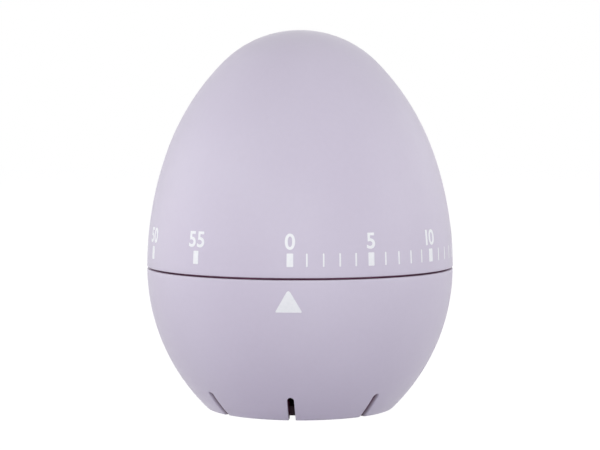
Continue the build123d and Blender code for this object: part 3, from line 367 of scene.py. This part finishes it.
def soft_touch(name, light, dark, painted_shade, arc=None):
    """Soft-touch lacquer on moulded plastic: broad tone drift, a fine matt grain and a velvet edge.

    arc is the outside's centre (radius, z) and radius in millimetres: below that surface, in the slots,
    in the seam and inside, the colour turns to painted shade, which also takes away specular and sheen.
    """
    s = Shader(name)
    s.set(IOR=1.45, sheen_weight=SHEEN, sheen_roughness=0.45, specular_ior_level=SPECULAR)
    drift = s.noise(26, detail=2)
    mottle = s.noise(0.9, detail=4)
    tone = s.mix(s.spread(drift, 0, 1), dark, light)
    fleck = s.node("ShaderNodeMix", data_type="RGBA", blend_type="MULTIPLY")
    fleck.inputs["Factor"].default_value = 1.0
    s.link(tone, fleck.inputs[6])
    grey = s.node("ShaderNodeCombineColor")
    level = s.spread(mottle, 0.985, 1.0)
    for channel in range(3):
        s.link(level, grey.inputs[channel])
    s.link(grey.outputs[0], fleck.inputs[7])
    if arc is None:
        s.colour(fleck.outputs[2])
    else:
        parts = s.node("ShaderNodeSeparateXYZ")
        s.link(s.place, parts.inputs[0])
        # the painted shade is lighter near the seam than in the slots
        seam_shade_share = s.spread(parts.outputs[2], 0.0, 1.0, SEAM_SHADE_FROM * MM, (SEAM_SHADE_FROM + 2) * MM)
        painted_shade = s.mix(seam_shade_share, painted_shade, SEAM_SHADE_PLUM)
        share = s.depth_share(*arc)
        s.colour(s.mix(share, fleck.outputs[2], painted_shade))
        # the painted shade also takes away the specular and the sheen
        s.link(s.spread(share, SPECULAR, 0.04, 0.0, 0.6), s.main.inputs["Specular IOR Level"])
        s.link(s.spread(share, SHEEN, 0.0, 0.0, 0.6), s.main.inputs["Sheen Weight"])
    s.roughness(s.spread(s.noise(2.2, detail=3), 0.47, 0.56))
    wave = s.bump(s.noise(7, detail=1), 0.010)
    s.bump(s.noise(0.16, detail=2, rough=0.6), 0.0032, below=wave)
    return s.material


def dark_moulding(name, light, dark):
    s = Shader(name)
    s.set(IOR=1.5, specular_ior_level=0.15)
    s.colour(s.mix(s.spread(s.noise(3, detail=4), 0, 1), dark, light))
    s.roughness(s.spread(s.noise(0.8), 0.55, 0.7))
    s.bump(s.noise(0.25, detail=3), 0.006)
    return s.material


def metal(name, light, dark, rough_low, rough_high, grain, stain_mm=4.0, depth=0.003):
    """Metal with a directional grain: grain stretches the fine noise along one direction."""
    s = Shader(name)
    s.set(metallic=1.0)
    s.colour(s.mix(s.spread(s.noise(stain_mm, detail=5), 0, 1), dark, light))
    s.roughness(s.spread(s.noise(0.5, detail=4, stretch=grain), rough_low, rough_high))
    s.bump(s.noise(0.12, detail=3, stretch=grain), depth)
    return s.material


def ink(name, light, dark):
    """Pad-printed ink: slightly uneven cover and a silky surface."""
    s = Shader(name)
    s.set(IOR=1.48, specular_ior_level=0.45)
    s.colour(s.mix(s.spread(s.noise(0.5, detail=4), 0, 1), dark, light))
    s.roughness(s.spread(s.noise(0.35), 0.38, 0.5))
    s.bump(s.noise(0.2, detail=3), 0.003)
    return s.material


LAVENDER = soft_touch("soft_touch_lavender", *LACQUER, RECESS_SHADE_PLUM)
# the base's lacquer, with painted shade in its slots, seam and inside
BASE_LACQUER_AND_SHADE = soft_touch("soft_touch_base_painted_shade", *LACQUER, RECESS_SHADE_PLUM, (LOWER_CENTRE, LOWER_RADIUS))
DARK = dark_moulding("dark_moulding", rgb(58, 40, 50), rgb(46, 31, 40))
BRASS = metal("stamped_brass", rgb(222, 190, 122), rgb(196, 160, 92), 0.24, 0.38, (1, 1, 1))
PLATE = metal("rolled_sheet", rgb(196, 197, 199), rgb(172, 173, 176), 0.28, 0.42, (1, 0.06, 1))
TURNED = metal("turned_steel", rgb(182, 183, 187), rgb(150, 151, 156), 0.18, 0.3, (0.08, 0.08, 1), 2.0)
BLUED = metal("blued_spring", rgb(84, 92, 118), rgb(58, 62, 82), 0.2, 0.34, (1, 1, 0.08), 3.0)
NICKEL = metal("nickel_plate", rgb(222, 220, 214), rgb(206, 203, 196), 0.12, 0.2, (1, 1, 1), 5.0, 0.0015)
WHITE_INK = ink("white_ink", rgb(244, 246, 247), rgb(237, 240, 241))

FINISH = {
    "lavender_plastic": LAVENDER,
    "dark_plastic": DARK,
    "brass": BRASS,
    "plate_steel": PLATE,
    "arbor_steel": TURNED,
    "spring_steel": BLUED,
    "bell_metal": NICKEL,
    "white_print": WHITE_INK,
}


def finish_cad_nodes():
    """Every carried-over node gets the finish of its slot in the record."""
    for entry in frame["record"]["subparts"]:
        obj = frame["nodes"][entry["node"]]
        obj.data.materials.clear()
        obj.data.materials.append(FINISH[entry["material_slot"]])
        for polygon in obj.data.polygons:
            polygon.material_index = 0
            polygon.use_smooth = True
        obj.data.set_sharp_from_angle(angle=math.radians(30))


# ---------------------------------------------------------------- dial
def dial_profile():
    """Closed round outline of the dial's shell: outside from crown to rim, then the inside back up."""
    round_r = RIM_ROUND
    rim_r, _ = upper_surface(CAP_RIM_Z)
    outside = arc_run(CROWN_CENTRE, CROWN_RADIUS, 90, CROWN_ANGLE, 0.7)
    outside += arc_run(SHOULDER_CENTRE, SHOULDER_RADIUS, CROWN_ANGLE, SHOULDER_ANGLE, 0.8)[1:]
    end = angle_of(FLANK_CENTRE, FLANK_RADIUS, CAP_RIM_Z + round_r)
    outside += arc_run(FLANK_CENTRE, FLANK_RADIUS, SHOULDER_ANGLE, end, 0.8)[1:]
    outside += arc_run((rim_r - round_r, CAP_RIM_Z + round_r), round_r, 0, -90, 0.05)[1:]
    inner_r = FLANK_CENTRE[0] + FLANK_RADIUS - WALL
    inside = straight(outside[-1], (inner_r, CAP_RIM_Z), 3)
    start = angle_of(FLANK_CENTRE, FLANK_RADIUS - WALL, CAP_RIM_Z)
    inside += arc_run(FLANK_CENTRE, FLANK_RADIUS - WALL, start, SHOULDER_ANGLE, 1.5)[1:]
    inside += arc_run(SHOULDER_CENTRE, SHOULDER_RADIUS - WALL, SHOULDER_ANGLE, CROWN_ANGLE, 1.5)[1:]
    inside += arc_run(CROWN_CENTRE, CROWN_RADIUS - WALL, CROWN_ANGLE, 90, 1.5)[1:]
    points = outside + inside
    points[0] = (0.0, EGG_HEIGHT)
    points[-1] = (0.0, EGG_HEIGHT - WALL)
    return points


def make_dial():
    verts, faces = [], []
    lathe(dial_profile(), COLUMNS, verts, faces)
    cap = new_object("dial_cap_shell", verts, faces, "dial", LAVENDER)
    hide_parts("dial_cap")
    for number, turn in enumerate(CARRIER_TURNS, start=1):
        at = on_arc((0, 0), CARRIER_CIRCLE, turn)
        make_boss(f"dial_boss_{number}", at, DIAL_BOSS, CARRIER_TOP, shell_middle, "dial")


def shell_middle(radius):
    """Level of the middle of the dial's wall at a radius."""
    half = WALL / 2
    crown = CROWN_RADIUS - half
    if radius < crown * math.cos(math.radians(CROWN_ANGLE)):
        return CROWN_CENTRE[1] + math.sqrt(crown ** 2 - radius ** 2)
    shoulder = SHOULDER_RADIUS - half
    return SHOULDER_CENTRE[1] + math.sqrt(shoulder ** 2 - (radius - SHOULDER_CENTRE[0]) ** 2)


def make_boss(name, at, radius, end_z, root_level, body):
    """Round screw boss with a blind hole in its end; its root follows the wall that it grows from."""
    up = 1 if root_level(0) > end_z else -1
    hole_z, edge_z = end_z + up * HOLE_DEPTH, end_z + up * BOSS_EDGE
    rows = [(0.0, hole_z), (SCREW_HOLE, hole_z), (SCREW_HOLE, edge_z), (SCREW_HOLE + BOSS_EDGE, end_z),
            (radius - BOSS_EDGE, end_z), (radius, edge_z), (radius, None), (0.0, None)]
    verts, faces = [], []
    lathe([(r, end_z if z is None else z) for r, z in rows], BOSS_COLUMNS, verts, faces)
    root = len(verts) - BOSS_COLUMNS - 1
    placed = []
    for index, (x, y, z) in enumerate(verts):
        x, y = x + at[0], y + at[1]
        placed.append((x, y, root_level(math.hypot(x, y)) if index >= root else z))
    return new_object(name, placed, faces, body, LAVENDER)


# ---------------------------------------------------------------- base
def foot_outline():
    """Outside of the base from the cover's bore, under the foot and up to the top of the slots' patch."""
    bore = FOOT_RADIUS - FOOT_RIM
    centre_r = lower_r(FOOT_ROUND, FOOT_ROUND)
    points = [(bore, 0.0)] + straight((bore, 0.0), (centre_r, 0.0), 6)
    points += arc_run((centre_r, FOOT_ROUND), FOOT_ROUND, -90, FOOT_TURN, 0.08)[1:]
    stop = angle_of(LOWER_CENTRE, LOWER_RADIUS, PATCH_TOP)
    points += arc_run(LOWER_CENTRE, LOWER_RADIUS, FOOT_TURN, stop, 0.2)[1:]
    return points


def inner_outline():
    """Inside of the base from the cover's bore, round the cover's ledge and up the wall."""
    bore = FOOT_RADIUS - FOOT_RIM
    points = [(bore, 0.0)] + straight((bore, 0.0), (bore, COVER_TOP), 8)
    points += straight(points[-1], (LEDGE_INNER, COVER_TOP), 4)
    points += straight(points[-1], (LEDGE_INNER, LEDGE_TOP), 4)
    wall_r = lower_r(LEDGE_TOP, WALL)
    points += straight(points[-1], (wall_r, LEDGE_TOP), 8)
    start = angle_of(LOWER_CENTRE, LOWER_RADIUS - WALL, LEDGE_TOP)
    stop = angle_of(LOWER_CENTRE, LOWER_RADIUS - WALL, PATCH_TOP)
    points += arc_run(LOWER_CENTRE, LOWER_RADIUS - WALL, start, stop, 0.2)[1:]
    return points


class Outline:
    """Points of a profile with lengths along it, to look up a place, its normal and a level."""

    def __init__(self, points):
        self.points = points
        self.s = [0.0]
        for a, b in zip(points, points[1:]):
            self.s.append(self.s[-1] + math.dist(a, b))
        self.length = self.s[-1]

    def index(self, s):
        for i in range(len(self.s) - 1):
            if s <= self.s[i + 1]:
                return i
        return len(self.s) - 2

    def at(self, s):
        i = self.index(s)
        share = (s - self.s[i]) / max(1e-9, self.s[i + 1] - self.s[i])
        a, b = self.points[i], self.points[i + 1]
        return (a[0] + (b[0] - a[0]) * share, a[1] + (b[1] - a[1]) * share)

    def inward(self, s):
        """Unit vector into the wall, for an outline that is walked outward and up."""
        width = 0.05
        a, b = self.at(max(0.0, s - width)), self.at(min(self.length, s + width))
        along = (b[0] - a[0], b[1] - a[1])
        size = math.hypot(*along)
        return (-along[1] / size, along[0] / size)

    def level(self, z):
        """Length along the outline where its last, rising stretch passes z."""
        for i in range(len(self.points) - 1, 0, -1):
            low, high = self.points[i - 1][1], self.points[i][1]
            if low <= z <= high and high > low:
                return self.s[i - 1] + (self.s[i] - self.s[i - 1]) * (z - low) / (high - low)
        return 0.0


OUTSIDE = Outline(foot_outline())
INSIDE = Outline(inner_outline())


def wall_point(outline, s, x, depth):
    """Point on or below a profile's surface, at a sideways distance x from the slot that faces -Y."""
    r, z = outline.at(s)
    if depth:
        inward = outline.inward(s)
        r, z = r + inward[0] * depth, z + inward[1] * depth
    return (x, -math.sqrt(max(0.0, r * r - x * x)), z)


def slot_line(outline, widen):
    """(x, s) along a slot's edge: up the left leg, over and down the right leg; widen moves it outward."""
    leg_end = outline.level(SLOT_ROUND_Z)
    legs = [s for s in outline.s if s < leg_end - LEG_STEP] + [leg_end]
    radius = SLOT_HALF + widen
    left = [(-radius, s) for s in legs]
    over = []
    for step in range(1, TOP_COLUMNS):
        a = math.pi - math.pi * step / TOP_COLUMNS
        z = SLOT_ROUND_Z + radius * math.sin(a)
        over.append((radius * math.cos(a), outline.level(z)))
    right = [(radius, s) for s in reversed(legs)]
    return left + over + right, len(legs)


def patch_border(outline, legs, keep_below):
    """(degrees, s) of the sector's border, one point for each point of the slot's edge."""
    leg_end = outline.level(SLOT_ROUND_Z)
    kept = outline.level(keep_below)
    side = []
    for _, s in slot_line(outline, 0.0)[0][:legs]:
        if s > kept:
            s = kept + (s - kept) * (outline.length - kept) / (leg_end - kept)
        side.append(s)
    left = [(-HALF_SECTOR, s) for s in side]
    over = [(-HALF_SECTOR + 2 * HALF_SECTOR * step / TOP_COLUMNS, outline.length)
            for step in range(1, TOP_COLUMNS)]
    right = [(HALF_SECTOR, s) for s in reversed(side)]
    return left + over + right


def rows_to_faces(rows, faces, flip=False):
    for low, high in zip(rows, rows[1:]):
        for i in range(len(low) - 1):
            quad = (low[i], low[i + 1], high[i + 1], high[i])
            faces.append(quad[::-1] if flip else quad)


def add_rows(rows, verts):
    out = []
    for row in rows:
        out.append(list(range(len(verts), len(verts) + len(row))))
        verts.extend(row)
    return out


def slot_patch(verts, faces):
    """One sector of the base's foot: both faces of the wall round a slot, and the slot's own walls."""
    rounds = []
    for step in range(BEVEL_STEPS + 1):
        a = math.pi / 2 * step / BEVEL_STEPS
        rounds.append((SLOT_EDGE * (1 - math.cos(a)), SLOT_EDGE * (1 - math.sin(a))))
    edge_lines = {}
    for outline, keep in ((OUTSIDE, FOOT_KEEP), (INSIDE, LEDGE_TOP)):
        rows = []
        for widen, depth in rounds:
            line, legs = slot_line(outline, widen)
            if outline is OUTSIDE:
                rows.append([wall_point(outline, s, x, depth) for x, s in line])
            else:
                last = len(line) - 1
                lengths = [depth if i in (0, last) else s for i, (_, s) in enumerate(line)]
                rows.append([wall_point(outline, s, x, 0) for s, (x, _) in zip(lengths, line)])
        edge_lines[outline] = (rows[0], legs)
        line, legs = slot_line(outline, SLOT_EDGE)
        border = patch_border(outline, legs, keep)
        for ring in range(1, PATCH_RINGS + 1):
            share = (ring / PATCH_RINGS) ** PATCH_SPREAD
            row = []
            for (x, s), (turn, far_s) in zip(line, border):
                r, _ = outline.at(s)
                near = math.degrees(math.asin(x / r))
                mixed_s = s + (far_s - s) * share
                mixed = math.radians(near + (turn - near) * share)
                r, z = outline.at(mixed_s)
                row.append((r * math.sin(mixed), -r * math.cos(mixed), z))
            rows.append(row)
        rows_to_faces(add_rows(rows, verts), faces, flip=outline is INSIDE)
    outer, outer_legs = edge_lines[OUTSIDE]
    inner, inner_legs = edge_lines[INSIDE]
    # flat sides of the slot: one polygon each
    for pick in (lambda row, n: row[:n], lambda row, n: row[::-1][:n]):
        polygon = pick(outer, outer_legs) + pick(inner, inner_legs)[:0:-1]
        faces.append(tuple(range(len(verts), len(verts) + len(polygon))))
        verts.extend(polygon)
    top = [outer[outer_legs - 1:len(outer) - outer_legs + 1],
           inner[inner_legs - 1:len(inner) - inner_legs + 1]]
    rows_to_faces(add_rows(top, verts), faces)


def base_profile_above():
    """Outline above the slots' patch: up the outside, over the rim and the lip, and down the inside."""
    start = angle_of(LOWER_CENTRE, LOWER_RADIUS, PATCH_TOP)
    rim_r = lower_r(BASE_RIM_Z)
    stop = angle_of(LOWER_CENTRE, LOWER_RADIUS, BASE_RIM_Z - RIM_ROUND)
    points = arc_run(LOWER_CENTRE, LOWER_RADIUS, start, stop, 0.8)
    points += arc_run((rim_r - RIM_ROUND, BASE_RIM_Z - RIM_ROUND), RIM_ROUND, 0, 90, 0.05)[1:]
    points += straight(points[-1], (LIP_RADIUS, BASE_RIM_Z), 3)
    ease = 0.2
    points += straight(points[-1], (LIP_RADIUS, LIP_TOP - ease), 3)
    points += arc_run((LIP_RADIUS - ease, LIP_TOP - ease), ease, 0, 90, 0.08)[1:]
    points += straight(points[-1], (LIP_INNER, LIP_TOP), 2)
    points += straight(points[-1], (LIP_INNER, LIP_BOTTOM), 4)
    points += straight(points[-1], (lower_r(LIP_BOTTOM, WALL), LIP_BOTTOM), 2)
    start = angle_of(LOWER_CENTRE, LOWER_RADIUS - WALL, LIP_BOTTOM)
    stop = angle_of(LOWER_CENTRE, LOWER_RADIUS - WALL, PATCH_TOP)
    points += arc_run(LOWER_CENTRE, LOWER_RADIUS - WALL, start, stop, 1.2)[1:]
    return points


def base_wall_middle(radius):
    """Level of the middle of the base's wall at a radius."""
    reach = LOWER_RADIUS - WALL / 2
    return LOWER_CENTRE[1] - math.sqrt(reach ** 2 - (radius - LOWER_CENTRE[0]) ** 2)


def make_base():
    verts, faces = [], []
    lathe(base_profile_above(), COLUMNS, verts, faces, turn=HALF_SECTOR)
    sector, sector_faces = [], []
    slot_patch(sector, sector_faces)
    for number in range(SLOTS):
        a = math.radians(360.0 * number / SLOTS)
        c, s = math.cos(a), math.sin(a)
        first = len(verts)
        verts.extend((x * c - y * s, x * s + y * c, z) for x, y, z in sector)
        faces.extend(tuple(first + i for i in face) for face in sector_faces)
    shell = new_object("base_shell_body", verts, faces, "base", BASE_LACQUER_AND_SHADE, crease=40.0)
    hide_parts("base_shell")
    for number, turn in enumerate(BOSS_TURNS, start=1):
        at = on_arc((0, 0), BOSS_CIRCLE, turn)
        make_boss(f"base_boss_{number}", at, BASE_BOSS, BOSS_TOP, base_wall_middle, "base")


# ---------------------------------------------------------------- print
def wrap(flat, centre_deg, base_z, surface):
    """Moves a flat piece (x across, y up, and 1 or -1 for its side) onto the egg, at an angle from -Y."""
    middle_r, _ = surface(base_z)
    out = []
    for x, y, side in flat:
        r, normal = surface(base_z + y)
        lift = INK if side > 0 else -INK_SUNK
        a = math.radians(centre_deg) + x / middle_r
        reach = r + normal[0] * lift
        out.append((reach * math.sin(a), -reach * math.cos(a), base_z + y + normal[1] * lift))
    return out


def slab(outline_rows):
    """Closed thin slab from rows of (x, y) points: top and bottom faces and the rim between them."""
    verts, faces = [], []
    grids = []
    for side in (1, -1):
        rows = add_rows([[(x, y, side) for x, y in row] for row in outline_rows], verts)
        rows_to_faces(rows, faces, flip=side < 0)
        grids.append(rows)
    top, bottom = grids
    loop = []
    for rows in (top, bottom):
        ring = list(rows[0]) + [row[-1] for row in rows[1:-1]] + list(reversed(rows[-1]))
        ring += [row[0] for row in reversed(rows[1:-1])]
        loop.append(ring)
    for i in range(len(loop[0])):
        j = (i + 1) % len(loop[0])
        faces.append((loop[0][i], loop[0][j], loop[1][j], loop[1][i]))
    return verts, faces


def tick(width, height):
    """Flat tick with slightly rounded corners."""
    corner = min(0.12, width * 0.4)
    levels = [0, corner * 0.3, corner] + [corner + (height - 2 * corner) * i / 6 for i in range(1, 6)]
    levels += [height - corner, height - corner * 0.3, height]
    rows = []
    for y in levels:
        from_end = min(y, height - y)
        inset = 0.0
        if from_end < corner:
            inset = corner - math.sqrt(max(0.0, corner ** 2 - (corner - from_end) ** 2))
        half = width / 2 - inset
        rows.append([(-half + 2 * half * i / 4, y) for i in range(5)])
    return slab(rows)


def pointer_shape():
    """Upright triangle with a slightly blunt tip and rounded lower corners."""
    height = POINTER_HIGH - POINTER_LOW
    blunt, corner = 0.22, 0.25
    rows = []
    levels = [0, 0.03, 0.08, 0.16, corner] + [corner + (height - corner) * i / 18 for i in range(1, 19)]
    for y in levels:
        half = (POINTER_WIDTH / 2) * (1 - y / height) + blunt * (y / height)
        if y < corner:
            half -= corner - math.sqrt(corner ** 2 - (corner - y) ** 2)
        if y > height - blunt:
            half *= math.sqrt(max(0.05, 1 - ((y - height + blunt) / blunt) ** 2 * 0.75))
        rows.append([(-half + 2 * half * i / 16, y) for i in range(17)])
    return slab(rows)


def number_shape(number):
    """Outline of a number as a thin slab cut into a fine grid, so that it can bend."""
    text = bpy.data.curves.new(f"number_{number}_text", "FONT")
    text.body = str(number)
    text.align_x = "CENTER"
    text.size = 1.0
    text.extrude = 0.5
    text.resolution_u = 8
    text.offset = NUMBER_STROKE
    text.space_character = NARROW_PAIR if number // 10 == 1 else 1.04
    holder = bpy.data.objects.new("number_holder", text)
    bpy.context.scene.collection.objects.link(holder)
    bpy.context.view_layer.update()
    mesh = bpy.data.meshes.new_from_object(holder.evaluated_get(bpy.context.evaluated_depsgraph_get()))
    bpy.data.objects.remove(holder)
    build = bmesh.new()
    build.from_mesh(mesh)
    bmesh.ops.remove_doubles(build, verts=build.verts, dist=1e-5)
    low = min(v.co.y for v in build.verts)
    high = max(v.co.y for v in build.verts)
    scale = NUMBER_HEIGHT / (high - low)
    left = min(v.co.x for v in build.verts)
    right = max(v.co.x for v in build.verts)
    for v in build.verts:
        v.co.x = (v.co.x - (left + right) / 2) * scale * DIGIT_SQUEEZE
        v.co.y = (v.co.y - low) * scale
        v.co.z = 1.0 if v.co.z > 0 else -1.0
    cut = 0.4
    wide = (right - left) * scale * DIGIT_SQUEEZE / 2
    for axis, limits in ((0, (-wide, wide)), (1, (0.0, NUMBER_HEIGHT))):
        place = limits[0] + cut
        while place < limits[1]:
            point, normal = [0.0, 0.0, 0.0], [0.0, 0.0, 0.0]
            point[axis], normal[axis] = place, 1.0
            bmesh.ops.bisect_plane(
                build, geom=build.verts[:] + build.edges[:] + build.faces[:], plane_co=point, plane_no=normal)
            place += cut
    verts = [tuple(v.co) for v in build.verts]
    build.verts.index_update()
    faces = [tuple(v.index for v in face.verts) for face in build.faces]
    build.free()
    bpy.data.meshes.remove(mesh)
    return verts, faces


def make_scale():
    for minute in range(0, LAST_NUMBER + 1):
        major = minute % 5 == 0
        if not major and minute > MINOR_UP_TO:
            continue
        turn = ZERO_TURN + minute * MINUTE
        verts, faces = tick(MAJOR_WIDTH if major else MINOR_WIDTH, TICK_HIGH - TICK_LOW)
        verts = wrap(verts, turn, TICK_LOW, upper_surface)
        new_object(f"tick_{minute:02d}", verts, faces, "dial", WHITE_INK)
        if major:
            verts, faces = number_shape(minute)
            verts = wrap(verts, turn, NUMBER_LOW, upper_surface)
            new_object(f"number_{minute:02d}", verts, faces, "dial", WHITE_INK)
    verts, faces = pointer_shape()
    verts = wrap(verts, POINTER_TURN, POINTER_LOW, lower_surface)
    new_object("pointer_mark", verts, faces, "base", WHITE_INK)


# ---------------------------------------------------------------- floor, light, camera
def camera_only(tree, seen, lighting):
    """Shader output that is one thing to the camera and in reflections, and another as a source of light."""
    path = tree.nodes.new("ShaderNodeLightPath")
    either = tree.nodes.new("ShaderNodeMath")
    either.operation = "MAXIMUM"
    tree.links.new(path.outputs["Is Camera Ray"], either.inputs[0])
    tree.links.new(path.outputs["Is Glossy Ray"], either.inputs[1])
    mixed = tree.nodes.new("ShaderNodeMixShader")
    tree.links.new(either.outputs[0], mixed.inputs[0])
    tree.links.new(lighting.outputs[0], mixed.inputs[1])
    tree.links.new(seen.outputs[0], mixed.inputs[2])
    return mixed


def make_stage():
    """Pale floor that shows as bright as the backdrop and throws only a little light back up."""
    bpy.ops.mesh.primitive_circle_add(vertices=96, radius=1.6, fill_type="NGON")
    floor = bpy.context.object
    floor.name = "floor"
    s = Shader("pale_floor")
    s.set(specular_ior_level=0.0, emission_strength=FLOOR_GLOW)
    s.main.inputs["Emission Color"].default_value = (1, 1, 1, 1)
    s.main.inputs["Base Color"].default_value = FLOOR_SHADE
    s.main.inputs["Roughness"].default_value = 0.8
    bounce = s.node("ShaderNodeBsdfDiffuse")
    bounce.inputs["Color"].default_value = FLOOR_BOUNCE
    mixed = camera_only(s.tree, s.main, bounce)
    s.link(mixed.outputs[0], s.out.inputs[0])
    floor.data.materials.append(s.material)


def area_light(name, place, aim, size, power):
    light = bpy.data.lights.new(name, "AREA")
    light.shape = "DISK"
    light.size = size
    light.energy = power
    holder = bpy.data.objects.new(name, light)
    bpy.context.scene.collection.objects.link(holder)
    holder.location = place
    holder.rotation_euler = (Vector(aim) - Vector(place)).to_track_quat("-Z", "Y").to_euler()
    return holder


def make_light():
    world = bpy.data.worlds.new("studio")
    world.use_nodes = True
    tree = world.node_tree
    seen, lighting = tree.nodes["Background"], tree.nodes.new("ShaderNodeBackground")
    seen.inputs[0].default_value = (1.0, 1.0, 1.0, 1.0)
    seen.inputs[1].default_value = 1.0
    lighting.inputs[0].default_value = AMBIENT
    lighting.inputs[1].default_value = AMBIENT_LEVEL
    mixed = camera_only(tree, seen, lighting)
    tree.links.new(mixed.outputs[0], tree.nodes["World Output"].inputs[0])
    bpy.context.scene.world = world
    aim = (0, 0, 0.035)
    area_light("key_left", (-0.62, -0.62, 0.36), aim, 0.60, 2.9)
    area_light("side_left", (-0.85, 0.10, 0.22), aim, 0.50, 1.6)
    area_light("rim_left", (-0.75, 0.35, 0.05), aim, 0.40, 0.8)
    area_light("side_right", (0.85, -0.12, 0.24), aim, 0.55, 3.3)
    area_light("rim_right", (0.70, 0.55, 0.25), aim, 0.50, 1.2)
    area_light("front", (0.0, -0.95, 0.10), aim, 0.60, 5.0)
    area_light("top", (0.0, 0.25, 0.85), aim, 0.60, 0.3)


def make_camera():
    camera = bpy.data.cameras.new("camera")
    camera.sensor_width = 36.0
    camera.lens = CAMERA_LENS
    holder = bpy.data.objects.new("camera", camera)
    bpy.context.scene.collection.objects.link(holder)
    turn = math.radians(CAMERA_TURN)
    away = CAMERA_DISTANCE * MM
    holder.location = (away * math.sin(turn), -away * math.cos(turn), CAMERA_HEIGHT * MM)
    ahead = Vector((-math.sin(turn), math.cos(turn), -math.tan(CAMERA_PITCH)))
    holder.rotation_euler = ahead.to_track_quat("-Z", "Y").to_euler()
    camera.clip_start, camera.clip_end = 0.01, 20.0
    bpy.context.scene.camera = holder


bpy.context.scene.view_settings.view_transform = "Standard"
finish_cad_nodes()
make_dial()
make_base()
make_scale()
make_stage()
make_light()
make_camera()
